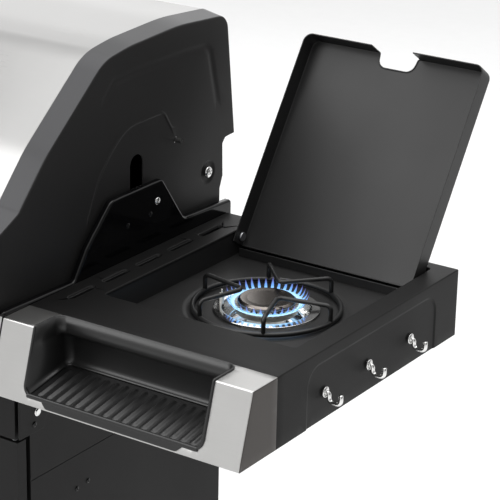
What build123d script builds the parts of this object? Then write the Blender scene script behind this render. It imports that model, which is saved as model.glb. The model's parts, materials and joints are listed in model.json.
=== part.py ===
"""Gas barbecue grill on a cabinet cart, with a side-burner shelf. Millimetres, +Z up.

Drawing frame: X across the grill from its middle, Y back from the joint between a side
shelf's front fascia and its top, Z up from the floor. Just before writing, every piece is
moved so that the row's origin is the middle of the whole grill's footprint.
"""
from build123d import *
import math
import os

# ---------------------------------------------------------------- driving dimensions
HALF = 350.0            # middle of the grill to the outer face of a firebox end panel
SHELF_TOP = 900.0       # height of the side shelves above the floor
SHELF_W = 320.0
SHELF_D = 374.7
SHELF_H = 80.2
SHEET = 1.5             # usual sheet-metal thickness
FASCIA_TOP = 43.1       # fascia depth along its top
FASCIA_BOTTOM = 66.5    # fascia depth along its bottom
GAP = 0.5               # working gap between bodies that pass each other
PIN_GAP = 0.05          # radial running clearance of hinge pins and shafts

# side-burner recess, from the shelf's inner top corner
RECESS_X = (45.4, 293.2)
RECESS_Y = (73.5, 358.0)
RECESS_DEPTH = 30.4
UPSTAND_Y = 325.0       # low rib across the pan, in front of the lid's hinge edge
BOWL_FLANGE_TOP = 1.5 - RECESS_DEPTH   # top of the burner bowl's flange, on the pan's floor
BURNER_X = 169.3
BURNER_Y = 208.0
RING_R = 83.0           # pan support ring, to the wire's centre
RING_WIRE = 2.8

# side-burner lid, drawn shut and then swung open
LID_X = (47.9, 290.7)
LID_FRONT_Y = 75.6
LID_TOP = 2.8
LID_FLANGE = 24.0
LID_PIVOT = (333.7, -8.3)
LID_BACK_Y = 343.4
LID_OPEN = 123.6
NOTCH_X = (142.8, 193.6)
NOTCH_DEPTH = 18.5

# drop-in tray in the right fascia
TRAY_X = (44.0, 273.0)
TRAY_BACK = 11.0
TRAY_LEDGE = 20.0
RIB_COUNT = 17

# hood
HOOD_PIVOT = (350.5, 55.2)
HOOD_OPEN = 85.0
CAP_FACE = HALF - 12.0   # outer face of a hood end cap
SKIN_END = HALF - 40.0   # where the steel skin meets the cap's rim
RIM_RISE = 4.5           # how far the rim climbs from the cap's face to the skin
HOOD_TOP_LINE = [        # (y, height over the shelf top, corner radius) of a cap's upper edge
    (-58.0, 4.0, 0.0),
    (-58.0, 73.0, 14.0),
    (1.0, 101.5, 18.0),
    (48.7, 153.2, 150.0),
    (150.0, 236.5, 28.0),
    (196.0, 243.4, 200.0),
    (290.0, 248.3, 300.0),
    (387.5, 241.5, 20.0),
    (406.3, 92.0, 0.0),
]
CAP_LOWER_LINE = [       # the rest of the cap's outline, round the hinge ear and the cut-out
    (386.0, 90.5, 3.0),
    (380.0, 84.0, 3.0),
    (381.4, 43.0, 3.0),
    (375.5, 28.0, 3.0),
    (375.5, 6.0, 3.0),
    (288.0, 6.0, 8.0),
    (262.0, 38.0, 8.0),
    (240.0, 64.0, 8.0),
    (150.0, 64.0, 12.0),
    (104.0, 24.0, 8.0),
    (90.0, -4.0, 5.0),
    (-38.0, -4.0, 2.0),
    (-38.0, 4.0, 2.0),
]
HANDLE_Y = -106.0
HANDLE_Z = 48.0

# firebox
BOWL_HALF = 315.0
BOWL_Y = (-8.0, 370.0)
BOWL_WALL_FOOT = -80.0   # where the front and back walls turn in to the sloping floor
BOWL_RIM = -12.0
BOWL_BOTTOM = -168.0
REAR_WALL_TOP = 70.0     # top of the wall that closes the back, under the open hood's sweep
END_PANEL_LINE = [       # enamelled end panel, seen from the side
    (-42.0, -88.0, 0.0),
    (-42.0, 4.4, 2.0),
    (80.0, 1.2, 5.0),
    (101.5, 33.5, 30.0),
    (146.5, 77.0, 14.0),
    (243.5, 77.6, 10.0),
    (287.0, 18.2, 12.0),
    (385.0, 14.0, 3.0),
    (385.0, -88.0, 0.0),
]
BURNER_TUBES_X = (-210.0, 0.0, 210.0)
TUBE_Z = -72.0
PIPE_Y = -31.0
PIPE_Z = -60.0

# warming rack: arm and legs are parallel and equally long, so the rack stays level
RACK_PIN = (284.4, 112.5)
LEG_FOOT = (218.9, 41.1)

# cart
CART_HALF = HALF - 5.0
CART_Y = (3.6, 374.0)
BASE_Z = (84.0, 114.0)
DOOR_Y = (-17.0, -2.0)
DOOR_Z = (118.0, SHELF_TOP - 160.0)
DOOR_PIVOT_Y = -9.5
DOOR_PIVOT_INSET = 9.5
CASTER_X = 292.0
CASTER_Y = (50.0, 326.0)
CASTER_TRAIL = 18.0
WHEEL_R = 32.0

# controls
KNOB_X = (-210.0, -70.0, 70.0, 210.0)
BUTTON_X = 285.0
KNOB_PUSH = 3.0
BUTTON_PUSH = 4.0

HOOK_Y = (91.5, 179.5, 268.0)
HOOK_Z = -49.0
HOOK_REACH = 22.0
HOOK_WIRE = 2.5
SLOT_PITCH = 61.5


# ---------------------------------------------------------------- drawing helpers
def block(x, y, z):
    """A box between pairs of coordinates."""
    size = [high - low for low, high in (x, y, z)]
    middle = [(high + low) / 2 for low, high in (x, y, z)]
    return Pos(*middle) * Box(*size)


def round_x(x, y, z, r):
    return Pos((x[0] + x[1]) / 2, y, z) * Rot(0, 90, 0) * Cylinder(r, abs(x[1] - x[0]))


def round_y(x, y, z, r):
    return Pos(x, (y[0] + y[1]) / 2, z) * Rot(90, 0, 0) * Cylinder(r, abs(y[1] - y[0]))


def round_z(x, y, z, r):
    return Pos(x, y, (z[0] + z[1]) / 2) * Cylinder(r, abs(z[1] - z[0]))


def side_outline(corners):
    """A face in the YZ plane from (y, height over the shelf top, corner radius) rows."""
    points = [(y, SHELF_TOP + z) for y, z, _ in corners]
    radii = [r for _, _, r in corners]
    return make_face(FilletPolyline(*points, radius=radii, close=True))


def slab(outline, x, taper=0.0):
    """The outline pushed along X between two positions; a taper widens it as it goes."""
    face = Pos(x[0], 0, 0) * (Plane.YZ * outline)
    return extrude(face, amount=x[1] - x[0], dir=(1, 0, 0), taper=taper)


def plan_slab(x, y, z, corner):
    """An upright rounded block, drawn in plan."""
    plan = RectangleRounded(x[1] - x[0], y[1] - y[0], corner)
    return Pos((x[0] + x[1]) / 2, (y[0] + y[1]) / 2, z[0]) * extrude(plan, amount=z[1] - z[0])


def wire(points, r, bend):
    """Round wire through the points, with bent corners."""
    path = FilletPolyline(*points, radius=bend) if len(points) > 2 else Line(*points)
    return sweep(Plane(origin=path @ 0, z_dir=path % 0) * Circle(r), path=path)


def bolt_x(x, y, z, shank, head, head_thick, outward):
    """A bolt along X whose head is on the outward side of its shank."""
    end = x[1] if outward > 0 else x[0]
    cap = round_x((end, end + outward * head_thick), y, z, head)
    return round_x(x, y, z, shank) + cap


def solids(*shapes):
    """Separate solids that are kept in one node."""
    return Compound(children=[s for shape in shapes for s in shape.solids()])


def mirrored(shape):
    return mirror(shape, about=Plane.YZ)


def up(z):
    """A height over the shelf top as a height over the floor."""
    return SHELF_TOP + z


def across(x):
    """A distance from the right shelf's inner edge as a distance from the middle."""
    return HALF + x


FACE_SLANT = math.degrees(math.atan2(FASCIA_BOTTOM - FASCIA_TOP, SHELF_H))


def fascia_line(grow=0.0):
    """The slanted front's side outline, drawn in by grow on its outer sides."""
    slant = grow / math.cos(math.radians(FACE_SLANT))
    lean = math.tan(math.radians(FACE_SLANT))
    top = FASCIA_TOP - slant + lean * grow
    bottom = FASCIA_BOTTOM - slant - lean * grow
    return [(0.0, -grow, 0), (-top, -grow, 0), (-bottom, grow - SHELF_H, 0), (0.0, grow - SHELF_H, 0)]


def front_plane(x, down):
    """A plane on the slanted front, down that far from its top edge, facing outward."""
    lean = math.radians(FACE_SLANT)
    y = -FASCIA_TOP - down * math.sin(lean)
    z = up(-down * math.cos(lean))
    return Plane(origin=(x, y, z), x_dir=(1, 0, 0), z_dir=(0, -math.cos(lean), math.sin(lean)))


def on_front(plane, shape):
    return plane.location * shape


# ---------------------------------------------------------------- cart
def cart_base():
    """Bottom shelf: a pressed tray, open side down, with a collar for each caster."""
    x = (-CART_HALF, CART_HALF)
    tray = block(x, CART_Y, BASE_Z)
    inside = block((x[0] + SHEET, x[1] - SHEET), (CART_Y[0] + SHEET, CART_Y[1] - SHEET),
                   (BASE_Z[0] - 1, BASE_Z[1] - SHEET))
    shelf = tray - inside
    for cx, cy in caster_places():
        shelf += block((cx - 26, cx + 26), (cy - 26, cy + 26), BASE_Z)
        shelf -= round_z(cx, cy, (BASE_Z[0] - 1, BASE_Z[0] + 22), 6 + PIN_GAP)
    return shelf


def caster_places():
    return [(sx * CASTER_X, cy) for cy in CASTER_Y for sx in (-1, 1)]


def side_panel():
    """Right wall of the cabinet: a sheet with turned edges and a pressed-in lower field."""
    top = up(-90)
    x = (CART_HALF - 24, CART_HALF)
    sheet = block(x, CART_Y, (BASE_Z[1], top))
    inside = block((x[0] - 1, x[1] - SHEET), (CART_Y[0] + SHEET, CART_Y[1] - SHEET),
                   (BASE_Z[1] + SHEET, top - SHEET))
    seam = block((CART_HALF - 0.6, CART_HALF + 1), (CART_Y[0] - 1, CART_Y[1] + 1),
                 (up(-214.5), up(-213)))
    return sheet - inside - seam


def back_panel():
    """Rear sheet, open above for the grease tray and below the middle for air."""
    edge = CART_HALF - 24
    sheet = block((-edge, edge), (CART_Y[1] - SHEET, CART_Y[1]), (BASE_Z[1], up(-225)))
    for row in range(5):
        z = 220 + 26 * row
        for cx in (-140, 0, 140):
            sheet -= block((cx - 50, cx + 50), (CART_Y[1] - 5, CART_Y[1] + 5), (z, z + 9))
    return sheet


def front_rail():
    """Cross channel under the control panel, over the doors."""
    half = CART_HALF - 4.0
    z = (up(-157), up(-84))
    rail = block((-half, half), (DOOR_Y[0], 3.0), z)
    rail -= block((-half - 1, half + 1), (BOWL_Y[0] - 2, 4), (up(-110), up(-80)))
    return rail - block((-half + SHEET, half - SHEET), (DOOR_Y[0] + SHEET, 4), (z[0] + SHEET, z[1] - SHEET))


def corner_bracket():
    """Plate that ties the front rail to the side panel."""
    x = (CART_HALF, CART_HALF + 2.0)
    plate = block(x, (-16, 48), (up(-156), up(-96)))
    corner = Pos(CART_HALF, 48, up(-156)) * Rot(0, 90, 0) * Cylinder(22, 10)
    return plate - corner


def door():
    """Right door: a shallow pressed pan, open to the back."""
    outer = CART_HALF - 1.0
    leaf = block((1.5, outer), DOOR_Y, DOOR_Z)
    inside = block((1.5 + SHEET, outer - 19), (DOOR_Y[0] + SHEET, DOOR_Y[1] + 1),
                   (DOOR_Z[0] + SHEET, DOOR_Z[1] - SHEET))
    leaf = leaf - inside
    x = outer - DOOR_PIVOT_INSET
    leaf -= round_z(x, DOOR_PIVOT_Y, (DOOR_Z[0] - 1, DOOR_Z[0] + 16), 3 + PIN_GAP)
    leaf -= round_z(x, DOOR_PIVOT_Y, (DOOR_Z[1] - 16, DOOR_Z[1] + 1), 3 + PIN_GAP)
    return leaf


def door_handle():
    """Upright bar on two stubs at the door's free edge."""
    x = 34.0
    z = (DOOR_Z[1] - 300, DOOR_Z[1] - 60)
    path = [(x, DOOR_Y[0], z[0]), (x, DOOR_Y[0] - 30, z[0]), (x, DOOR_Y[0] - 30, z[1]), (x, DOOR_Y[0], z[1])]
    return wire(path, 6.0, 12.0)


def door_pins():
    """Upper and lower hinge pins of both doors, standing in the rail and the base."""
    x = CART_HALF - 1.0 - DOOR_PIVOT_INSET
    pins = []
    for side in (-1, 1):
        low = round_z(side * x, DOOR_PIVOT_Y, (DOOR_Z[0] - 6, DOOR_Z[0] + 14), 3.0)
        foot = block((side * x - 8, side * x + 8), (DOOR_PIVOT_Y - 6, CART_Y[0]),
                     (DOOR_Z[0] - 6, DOOR_Z[0] - 2))
        high = round_z(side * x, DOOR_PIVOT_Y, (DOOR_Z[1] - 14, up(-157)), 3.0)
        pins += [low + foot, high]
    return pins


def caster_fork(cx, cy):
    """Swivel fork: stem, head plate, two cheeks and the axle."""
    top = BASE_Z[0] - GAP
    ay = cy + CASTER_TRAIL
    fork = round_z(cx, cy, (top - 1, top + 20), 6.0)
    fork += round_z(cx, cy, (top - 5, top), 22.0)
    fork += block((cx - 17, cx + 17), (cy - 12, ay + 10), (top - 8, top - 4))
    for side in (-1, 1):
        x0 = cx + side * 15.5
        cheek = block((x0 - 1.5, x0 + 1.5), (cy - 12, cy + 12), (top - 24, top - 4))
        cheek += block((x0 - 1.5, x0 + 1.5), (ay - 9, ay + 10), (WHEEL_R - 9, top - 4))
        fork += cheek
    return fork + round_x((cx - 20, cx + 20), ay, WHEEL_R, 4.0)


def caster_wheel(cx, cy):
    ay = cy + CASTER_TRAIL
    wheel = round_x((cx - 12, cx + 12), ay, WHEEL_R, WHEEL_R)
    wheel = fillet(wheel.edges().filter_by(GeomType.CIRCLE), 4.0)
    for side in (-1, 1):
        dish = round_x((cx + side * 8, cx + side * 13), ay, WHEEL_R, 21) \
            - round_x((cx + side * 7, cx + side * 14), ay, WHEEL_R, 9)
        wheel -= dish
    return wheel - round_x((cx - 13, cx + 13), ay, WHEEL_R, 4.0 + PIN_GAP)


# ---------------------------------------------------------------- firebox and burners
def firebox():
    """Open bowl with a sloping floor, a rim, hinge ears, grate ledges and grease-tray rails."""
    y0, y1 = BOWL_Y
    foot = BOWL_WALL_FOOT
    outer = [(y0, BOWL_RIM, 0), (y1, BOWL_RIM, 0), (y1, foot - 1, 12), (235, BOWL_BOTTOM, 6),
             (115, BOWL_BOTTOM, 6), (y0, foot - 1, 12)]
    inner = [(y0 + 2, BOWL_RIM + 5, 0), (y1 - 2, BOWL_RIM + 5, 0), (y1 - 2, foot, 10),
             (234, BOWL_BOTTOM + 2, 5), (116, BOWL_BOTTOM + 2, 5), (y0 + 2, foot, 10)]
    bowl = slab(side_outline(outer), (-BOWL_HALF, BOWL_HALF))
    bowl -= slab(side_outline(inner), (-BOWL_HALF + 2, BOWL_HALF - 2))
    rim = block((-341, 341), (-40, 388), (up(BOWL_RIM - 2), up(BOWL_RIM)))
    rim -= block((-BOWL_HALF + 2, BOWL_HALF - 2), (y0 + 2, y1 - 2), (up(-20), up(0)))
    bowl += rim
    bowl += block((-BOWL_HALF, BOWL_HALF), (y1 - 2, y1), (up(BOWL_RIM - 1), up(REAR_WALL_TOP)))
    bowl += block((-BOWL_HALF, BOWL_HALF), (y1 - 2, y1 + 8), (up(REAR_WALL_TOP - 2), up(REAR_WALL_TOP)))
    for y in ((y0 + 2, y0 + 14), (y1 - 14, y1 - 2)):
        bowl += block((-BOWL_HALF + 2, BOWL_HALF - 2), y, (up(-31), up(-29)))
    for side in (-1, 1):
        bowl += end_fittings(side)
    for x in BURNER_TUBES_X:
        bowl -= round_y(x, (y0 - 5, y0 + 40), up(TUBE_Z), 13.0)
    bowl -= block((-40, 40), (150, 200), (up(BOWL_BOTTOM - 2), up(BOWL_BOTTOM + 4)))
    return bowl


def end_fittings(side):
    """What stands on one end wall of the bowl: hinge ear, rack ear, spacers and a tray rail."""
    plate = (side * (BOWL_HALF - 3), side * BOWL_HALF)
    x = (min(plate), max(plate))
    y, z = HOOD_PIVOT
    parts = block(x, (y - 16, y + 16), (up(BOWL_RIM - 2), up(z)))
    parts += round_x(x, y, up(z), 16)
    y, z = LEG_FOOT
    parts += block(x, (y - 10, y + 10), (up(BOWL_RIM - 2), up(z)))
    parts += round_x(x, y, up(z), 10)
    parts += round_x((side * BOWL_HALF, side * (BOWL_HALF + 8)), y, up(z), 2.5)
    for cy in (60, 180, 300):
        parts += round_x((side * BOWL_HALF, side * (HALF - SHEET)), cy, up(-60), 7)
    hanger = (min(side * 118, side * 120), max(side * 118, side * 120))
    shelf = (min(side * 108, side * 120), max(side * 108, side * 120))
    for y in ((118, 232),):
        parts += block(hanger, y, (up(-196), up(BOWL_BOTTOM + 1)))
        parts += block(shelf, y, (up(-198), up(-196)))
    return parts


def end_panel():
    """Right enamelled end panel: a sheet with its upper edge turned in all round."""
    outline = side_outline(END_PANEL_LINE)
    panel = slab(outline, (HALF - 8, HALF))
    edge = panel.faces().sort_by(Axis.X)[-1].edges()
    panel = fillet(edge, 1.2)
    panel -= slab(offset(outline, -SHEET, kind=Kind.INTERSECTION), (HALF - 9, HALF - SHEET))
    panel -= round_x((HALF - 9, HALF + 1), 176.1, up(39.4), 3.0)
    return panel


def burner_tubes():
    """Three straight burners with a closed far end and a row of ports along each side."""
    tubes = []
    for x in BURNER_TUBES_X:
        front = BOWL_Y[0] - 1.5
        tube = round_y(x, (front, 345), up(TUBE_Z), 12.5) - round_y(x, (front - 1, 343), up(TUBE_Z), 11.3)
        for side in (-1, 1):
            for step in range(14):
                port = Pos(x, 30 + 22 * step, up(TUBE_Z)) * Rot(0, side * 60, 0)
                tube -= port * Pos(0, 0, 12) * Cylinder(1.6, 6)
        tube += block((x - 15, x + 15), (344, 368), (up(TUBE_Z - 2), up(TUBE_Z)))
        tubes.append(tube)
    return tubes


def heat_tents():
    """Folded steel tents that shelter the burners and spread their heat."""
    tents = []
    for x in BURNER_TUBES_X:
        ridge = [(x - 58, up(-58)), (x, up(-34)), (x + 58, up(-58)), (x + 58, up(-59.6)),
                 (x, up(-35.7)), (x - 58, up(-59.6))]
        face = Pos(0, 355, 0) * (Plane.XZ * make_face(Polyline(*ridge, close=True)))
        tents.append(extrude(face, amount=350, dir=(0, -1, 0)))
    return tents


def cooking_grate(side):
    """One half of the cast grate: a frame with bars from front to back."""
    x = (3, 309) if side > 0 else (-309, -3)
    y = (BOWL_Y[0] + 3, BOWL_Y[1] - 3)
    grate = block(x, y, (up(-29), up(-17)))
    bar, slot = 7.0, 14.0
    count = int((x[1] - x[0] - 24) / (bar + slot))
    start = (x[0] + x[1]) / 2 - (count * (bar + slot) - bar) / 2
    for i in range(count):
        x0 = start + i * (bar + slot)
        for ys in ((y[0] + 14, 170), (182, y[1] - 14)):
            grate -= block((x0, x0 + slot), ys, (up(-40), up(-10)))
    return grate


def electrodes():
    """Igniter electrodes of the middle main burner and of the side burner."""
    main = round_z(20, 60, (up(-100), up(-76)), 3.5) + round_z(20, 60, (up(-76), up(-68)), 0.9)
    main += block((14, 26), (54, 66), (up(-103), up(-100)))
    x, y = across(BURNER_X - 47), BURNER_Y - 20
    side = round_z(x, y, (up(BOWL_FLANGE_TOP), up(-17)), 2.6) + round_z(x, y, (up(-17), up(-12)), 0.9)
    return [main, side]


# ---------------------------------------------------------------- gas train and controls
def manifold():
    """Gas pipe with an inlet stub, a jet into each burner and a valve body behind every knob."""
    y, z = PIPE_Y, up(PIPE_Z)
    inlet_x = -(BOWL_HALF + 13)
    pipe = round_x((inlet_x - 8, 330), y, z, 7.0)
    pipe += round_y(inlet_x, (y, y + 32), z, 7.5)
    for x in BURNER_TUBES_X:
        pipe += round_z(x, y, (up(TUBE_Z - 4), z), 4.0)
        pipe += round_y(x, (y, BOWL_Y[0] + 4), up(TUBE_Z), 3.5)
    pipe -= round_x((inlet_x - 6, 325), y, z, 5.5)
    pipe -= round_y(inlet_x, (y, y + 33), z, 4.0)
    parts = [pipe]
    for x in KNOB_X:
        plane = front_plane(x, 38)
        body = on_front(plane, Pos(0, 0, -11) * Cylinder(9.5, 14))
        body += round_z(x, -40, (z, up(-42)), 5.0)
        body -= on_front(plane, Pos(0, 0, -9) * Cylinder(4.0 + PIN_GAP, 12))
        parts.append(body - round_x((-400, 400), y, z, 7.0))
    return parts


def control_panel():
    """Front panel between the shelves' fascias, with a hole for each stem and the button."""
    half = HALF - 1.0
    shell = slab(side_outline(fascia_line()), (-half, half))
    shell -= slab(side_outline(fascia_line(SHEET)), (-half + SHEET, half - SHEET))
    panel_front = END_PANEL_LINE[0][0] - 0.3
    keep = block((-half - 1, half + 1), (-80, panel_front), (up(-90), up(5)))
    top = block((-339, 339), (panel_front - 0.5, -38), (up(-SHEET), up(0)))
    bottom = block((-339, 339), (panel_front - 0.5, BOWL_Y[0] - 2), (up(-SHELF_H), up(-SHELF_H + SHEET)))
    panel = (shell & keep) + top + bottom
    for x in KNOB_X:
        panel -= on_front(front_plane(x, 38), Cylinder(6.0, 12))
    return panel - on_front(front_plane(BUTTON_X, 38), Cylinder(8.0 + 0.4, 12))


def knob_bezels():
    """Raised rings round the knobs and the igniter button."""
    rings = []
    for x in KNOB_X:
        ring = Pos(0, 0, 1.5) * (Cylinder(31, 3) - Cylinder(10, 8))
        ring = fillet(ring.edges().filter_by(GeomType.CIRCLE).sort_by(Axis.Z)[-1], 1.2)
        rings.append(on_front(front_plane(x, 38), ring))
    collar = Pos(0, 0, 1.5) * (Cylinder(15, 3) - Cylinder(8.4, 8))
    rings.append(on_front(front_plane(BUTTON_X, 38), collar))
    return rings


def valve_stem(x):
    """The stem that a knob is pressed on; it slides into the valve when the knob is pushed."""
    return on_front(front_plane(x, 38), Pos(0, 0, 9.5) * Cylinder(4.0, 27))


def knob(x):
    """Knob with a skirt, a grip bar across it and a bore for its stem."""
    skirt = Pos(0, 0, 10) * Cylinder(25, 6)
    body = Pos(0, 0, 18) * Cylinder(21.5, 12)
    grip = Pos(0, 0, 27) * Box(11, 43, 16)
    grip = grip & (Pos(0, 0, 27) * Cylinder(21.5, 20))
    shape = fillet((skirt + body).edges().filter_by(GeomType.CIRCLE), 1.5) + grip
    shape -= Pos(0, 0, 12) * Cylinder(4.0 + PIN_GAP, 23)
    return on_front(front_plane(x, 38), shape)


def ignition_button():
    cap = Pos(0, 0, 1.0) * Cylinder(8.0, 14)
    cap = fillet(cap.edges().sort_by(Axis.Z)[-1], 1.5)
    flange = Pos(0, 0, -7) * Cylinder(10.0, 2)
    return on_front(front_plane(BUTTON_X, 38), cap + flange)


# ---------------------------------------------------------------- hood
def hood_arch():
    """The side view of the space under the hood's upper edge."""
    return side_outline(HOOD_TOP_LINE)


def open_below():
    """Everything between the hood's front and back walls and under its slanting chord."""
    return side_outline([(-53.5, -60, 0), (-53.5, 10, 0), (400.5, 98, 0), (400.5, -60, 0)])


def below_hem(x):
    """What the front hem and the rear hem are trimmed to."""
    front = block(x, (-90, -40), (up(-40), up(4)))
    rear = block(x, (380, 430), (up(40), up(92)))
    return front + rear


def hood_cap():
    """Right end cap: a tapering rim round a flat cheek with the hinge ear and the cut-out."""
    reach = CAP_FACE - SKIN_END
    taper = math.degrees(math.atan2(RIM_RISE, reach))
    face = Pos(CAP_FACE, 0, 0) * (Plane.YZ * hood_arch())
    rim = extrude(face, amount=reach, dir=(-1, 0, 0), taper=-taper)
    x = (SKIN_END - 1, CAP_FACE + 1)
    rim -= slab(offset(hood_arch(), -3.0, kind=Kind.INTERSECTION), x)
    rim -= slab(open_below(), x)
    rim -= below_hem(x)
    cheek = slab(side_outline(HOOD_TOP_LINE[:-1] + [(406.3, 92.0, 2.0)] + CAP_LOWER_LINE),
                 (CAP_FACE - 3, CAP_FACE))
    slot = block((CAP_FACE - 5, CAP_FACE + 2), (195.7, 220.4), (up(50), up(101.6)))
    slot += round_x((CAP_FACE - 5, CAP_FACE + 2), 208.05, up(101.6), 12.35)
    cap = rim + cheek - slot
    cap -= round_x((CAP_FACE - 5, CAP_FACE + 2), RACK_PIN[0], up(RACK_PIN[1]), 3.0 + PIN_GAP)
    return cap - round_x((CAP_FACE - 5, CAP_FACE + 2), HOOD_PIVOT[0], up(HOOD_PIVOT[1]), 4.0 + PIN_GAP)


def hood_skin():
    """Bent steel sheet between the two end caps."""
    x = (-SKIN_END, SKIN_END)
    sheet = slab(offset(hood_arch(), RIM_RISE - 0.4, kind=Kind.INTERSECTION), x)
    wide = (x[0] - 1, x[1] + 1)
    sheet -= slab(offset(hood_arch(), RIM_RISE - 1.8, kind=Kind.INTERSECTION), wide)
    sheet -= slab(open_below(), wide)
    return sheet - below_hem(wide)


def hood_handle():
    """Bar on two brackets that stand on the hood's front wall."""
    bar = round_x((-285, 285), HANDLE_Y, up(HANDLE_Z), 12.5)
    bar = fillet(bar.edges().filter_by(GeomType.CIRCLE), 3.0)
    parts = [bar]
    for side in (-1, 1):
        x = side * 245.0
        post = block((x - 11, x + 11), (HANDLE_Y, -58 - RIM_RISE + 0.4), (up(HANDLE_Z - 10), up(HANDLE_Z + 10)))
        post = fillet(post.edges().filter_by(Axis.Y), 4.0)
        parts.append(post - round_x((x - 20, x + 20), HANDLE_Y, up(HANDLE_Z), 12.5))
    return parts


def gauge_plane():
    """Middle of the hood's front slope, facing out."""
    low, high = HOOD_TOP_LINE[3], HOOD_TOP_LINE[4]
    slope = math.atan2(high[1] - low[1], high[0] - low[0])
    share = 0.30
    lift = RIM_RISE - 0.4
    y = low[0] + share * (high[0] - low[0]) - lift * math.sin(slope)
    z = low[1] + share * (high[1] - low[1]) + lift * math.cos(slope)
    return Plane(origin=(0, y, up(z)), x_dir=(1, 0, 0), z_dir=(0, -math.sin(slope), math.cos(slope)))


def temperature_gauge():
    """Round dial with a bezel, a recessed face and a probe stub through the skin."""
    dial = Pos(0, 0, 5) * Cylinder(36, 10)
    dial = fillet(dial.edges().sort_by(Axis.Z)[-1], 3.0)
    dial -= Pos(0, 0, 10) * Cylinder(30, 4)
    return on_front(gauge_plane(), dial)


# ---------------------------------------------------------------- warming rack
def rack_front():
    """Where the legs carry the rack: the leg is the hood's arm moved to the leg's foot."""
    arm_y, arm_z = RACK_PIN[0] - HOOD_PIVOT[0], RACK_PIN[1] - HOOD_PIVOT[1]
    return LEG_FOOT[0] + arm_y, LEG_FOOT[1] + arm_z


def warming_rack():
    """Wire rack: a rear rod through both caps, a front rod for the legs and cross wires."""
    fy, fz = rack_front()
    ry, rz = RACK_PIN
    rack = round_x((-HALF + 4, HALF - 4), ry, up(rz), 3.0) + round_x((-324, 324), fy, up(fz), 2.5)
    rise = (rz - fz) / (ry - fy)
    for step in range(25):
        x = -288 + 24 * step
        rack += wire([(x, fy, up(fz)), (x, ry, up(rz))], 1.8, 0)
    for share in (0.35, 0.7):
        y = fy + share * (ry - fy)
        rack += round_x((-289, 289), y, up(fz + rise * (y - fy)) - 1.5, 2.0)
    return rack


def rack_legs():
    """A flat link on each side between the firebox ear and the rack's front rod."""
    fy, fz = rack_front()
    length = math.hypot(fy - LEG_FOOT[0], fz - LEG_FOOT[1])
    turn = math.degrees(math.atan2(fz - LEG_FOOT[1], fy - LEG_FOOT[0]))
    link = Box(3, length, 13) + round_x((-1.5, 1.5), length / 2, 0, 6.5) + round_x((-1.5, 1.5), -length / 2, 0, 6.5)
    link -= round_x((-3, 3), length / 2, 0, 2.5 + PIN_GAP)
    link -= round_x((-3, 3), -length / 2, 0, 2.5 + 0.6)
    legs = []
    for side in (-1, 1):
        middle = Pos(side * (BOWL_HALF + 4.5), (fy + LEG_FOOT[0]) / 2, up((fz + LEG_FOOT[1]) / 2))
        legs.append(middle * Rot(turn, 0, 0) * link)
    return legs


# ---------------------------------------------------------------- side shelves
def shelf_shell():
    """Right shelf without its openings: a pressed top with four turned-down sides."""
    shell = block((across(0), across(SHELF_W)), (0, SHELF_D), (up(-SHELF_H), up(0)))
    shell = fillet(shell.edges().filter_by(Axis.Z).group_by(Axis.Y)[-1], 3.0)
    shell = fillet(shell.faces().sort_by(Axis.Z)[-1].edges().filter_by(Axis.Y), 2.0)
    return shell - block((across(2), across(SHELF_W - 2)), (2, SHELF_D - 2), (up(-SHELF_H - 1), up(-2)))


def shelf_right():
    """Burner-side shelf: opening, tool slots, tray window and a shallow field in its side."""
    shell = shelf_shell()
    x, y = [across(v) for v in RECESS_X], RECESS_Y
    shell -= plan_slab(x, y, (up(-5), up(5)), 3.0)
    for step in range(5):
        cy = 63.5 + SLOT_PITCH * step
        shell -= plan_slab((across(18), across(26)), (cy - 22, cy + 22), (up(-5), up(5)), 2.0)
    shell -= block((across(TRAY_X[0] - 1), across(TRAY_X[1] + 1)), (-1, 3), (up(-76), up(-TRAY_LEDGE + 3)))
    field = plan_slab((58, 324), (-140, -14), (0, 1.0), 22.0)
    field = Pos(across(SHELF_W - 1.0), 0, SHELF_TOP) * (Plane.YZ.location * field)
    return shell - field


def shelf_left():
    return mirrored(shelf_shell())


def burner_pan():
    """Pan under the opening: four walls, a floor with the burner hole and a low rib."""
    x, y = [across(v) for v in RECESS_X], RECESS_Y
    z = (up(-RECESS_DEPTH - SHEET), up(-2))
    pan = plan_slab((x[0] - SHEET, x[1] + SHEET), (y[0] - SHEET, y[1] + SHEET), z, 4.0)
    pan -= plan_slab(x, y, (up(-RECESS_DEPTH), up(1)), 3.0)
    pan += block((across(52), across(286)), (UPSTAND_Y, UPSTAND_Y + SHEET), (up(-RECESS_DEPTH - 1), up(-20)))
    return pan - round_z(across(BURNER_X), BURNER_Y, (up(-40), up(-20)), 56.0)


def fascia():
    """Right fascia: stainless sheet folded round the shelf's front, with both ends closed."""
    shell = slab(side_outline(fascia_line()), (across(0), across(SHELF_W)))
    slanted = shell.faces().sort_by(Axis.Y)[0].edges().filter_by(Axis.X)
    shell = fillet(slanted, 2.0)
    return shell - slab(side_outline(fascia_line(SHEET)), (across(SHEET), across(SHELF_W - SHEET)))


def tray_space(grow):
    """The tray's hollow, or with grow its outside: collar, and a deeper, longer lower part."""
    x = [across(TRAY_X[0] + 2 - grow), across(TRAY_X[1] - 2 + grow)]
    front = -FASCIA_BOTTOM - 10
    collar = plan_slab(x, (front - 20, -2 + grow), (up(-50), up(3)), 10 + grow)
    deep = plan_slab([x[0] + 4, x[1] - 4], (front - 20, TRAY_BACK + grow), (up(-90), up(-TRAY_LEDGE + grow)), 14 + grow)
    floor = side_outline([(front, -71 - grow, 0), (TRAY_BACK + 5, -57 - grow, 0), (TRAY_BACK + 5, 10, 0), (front, 10, 0)])
    return (collar + deep) & slab(floor, (across(0), across(SHELF_W)))


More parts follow.
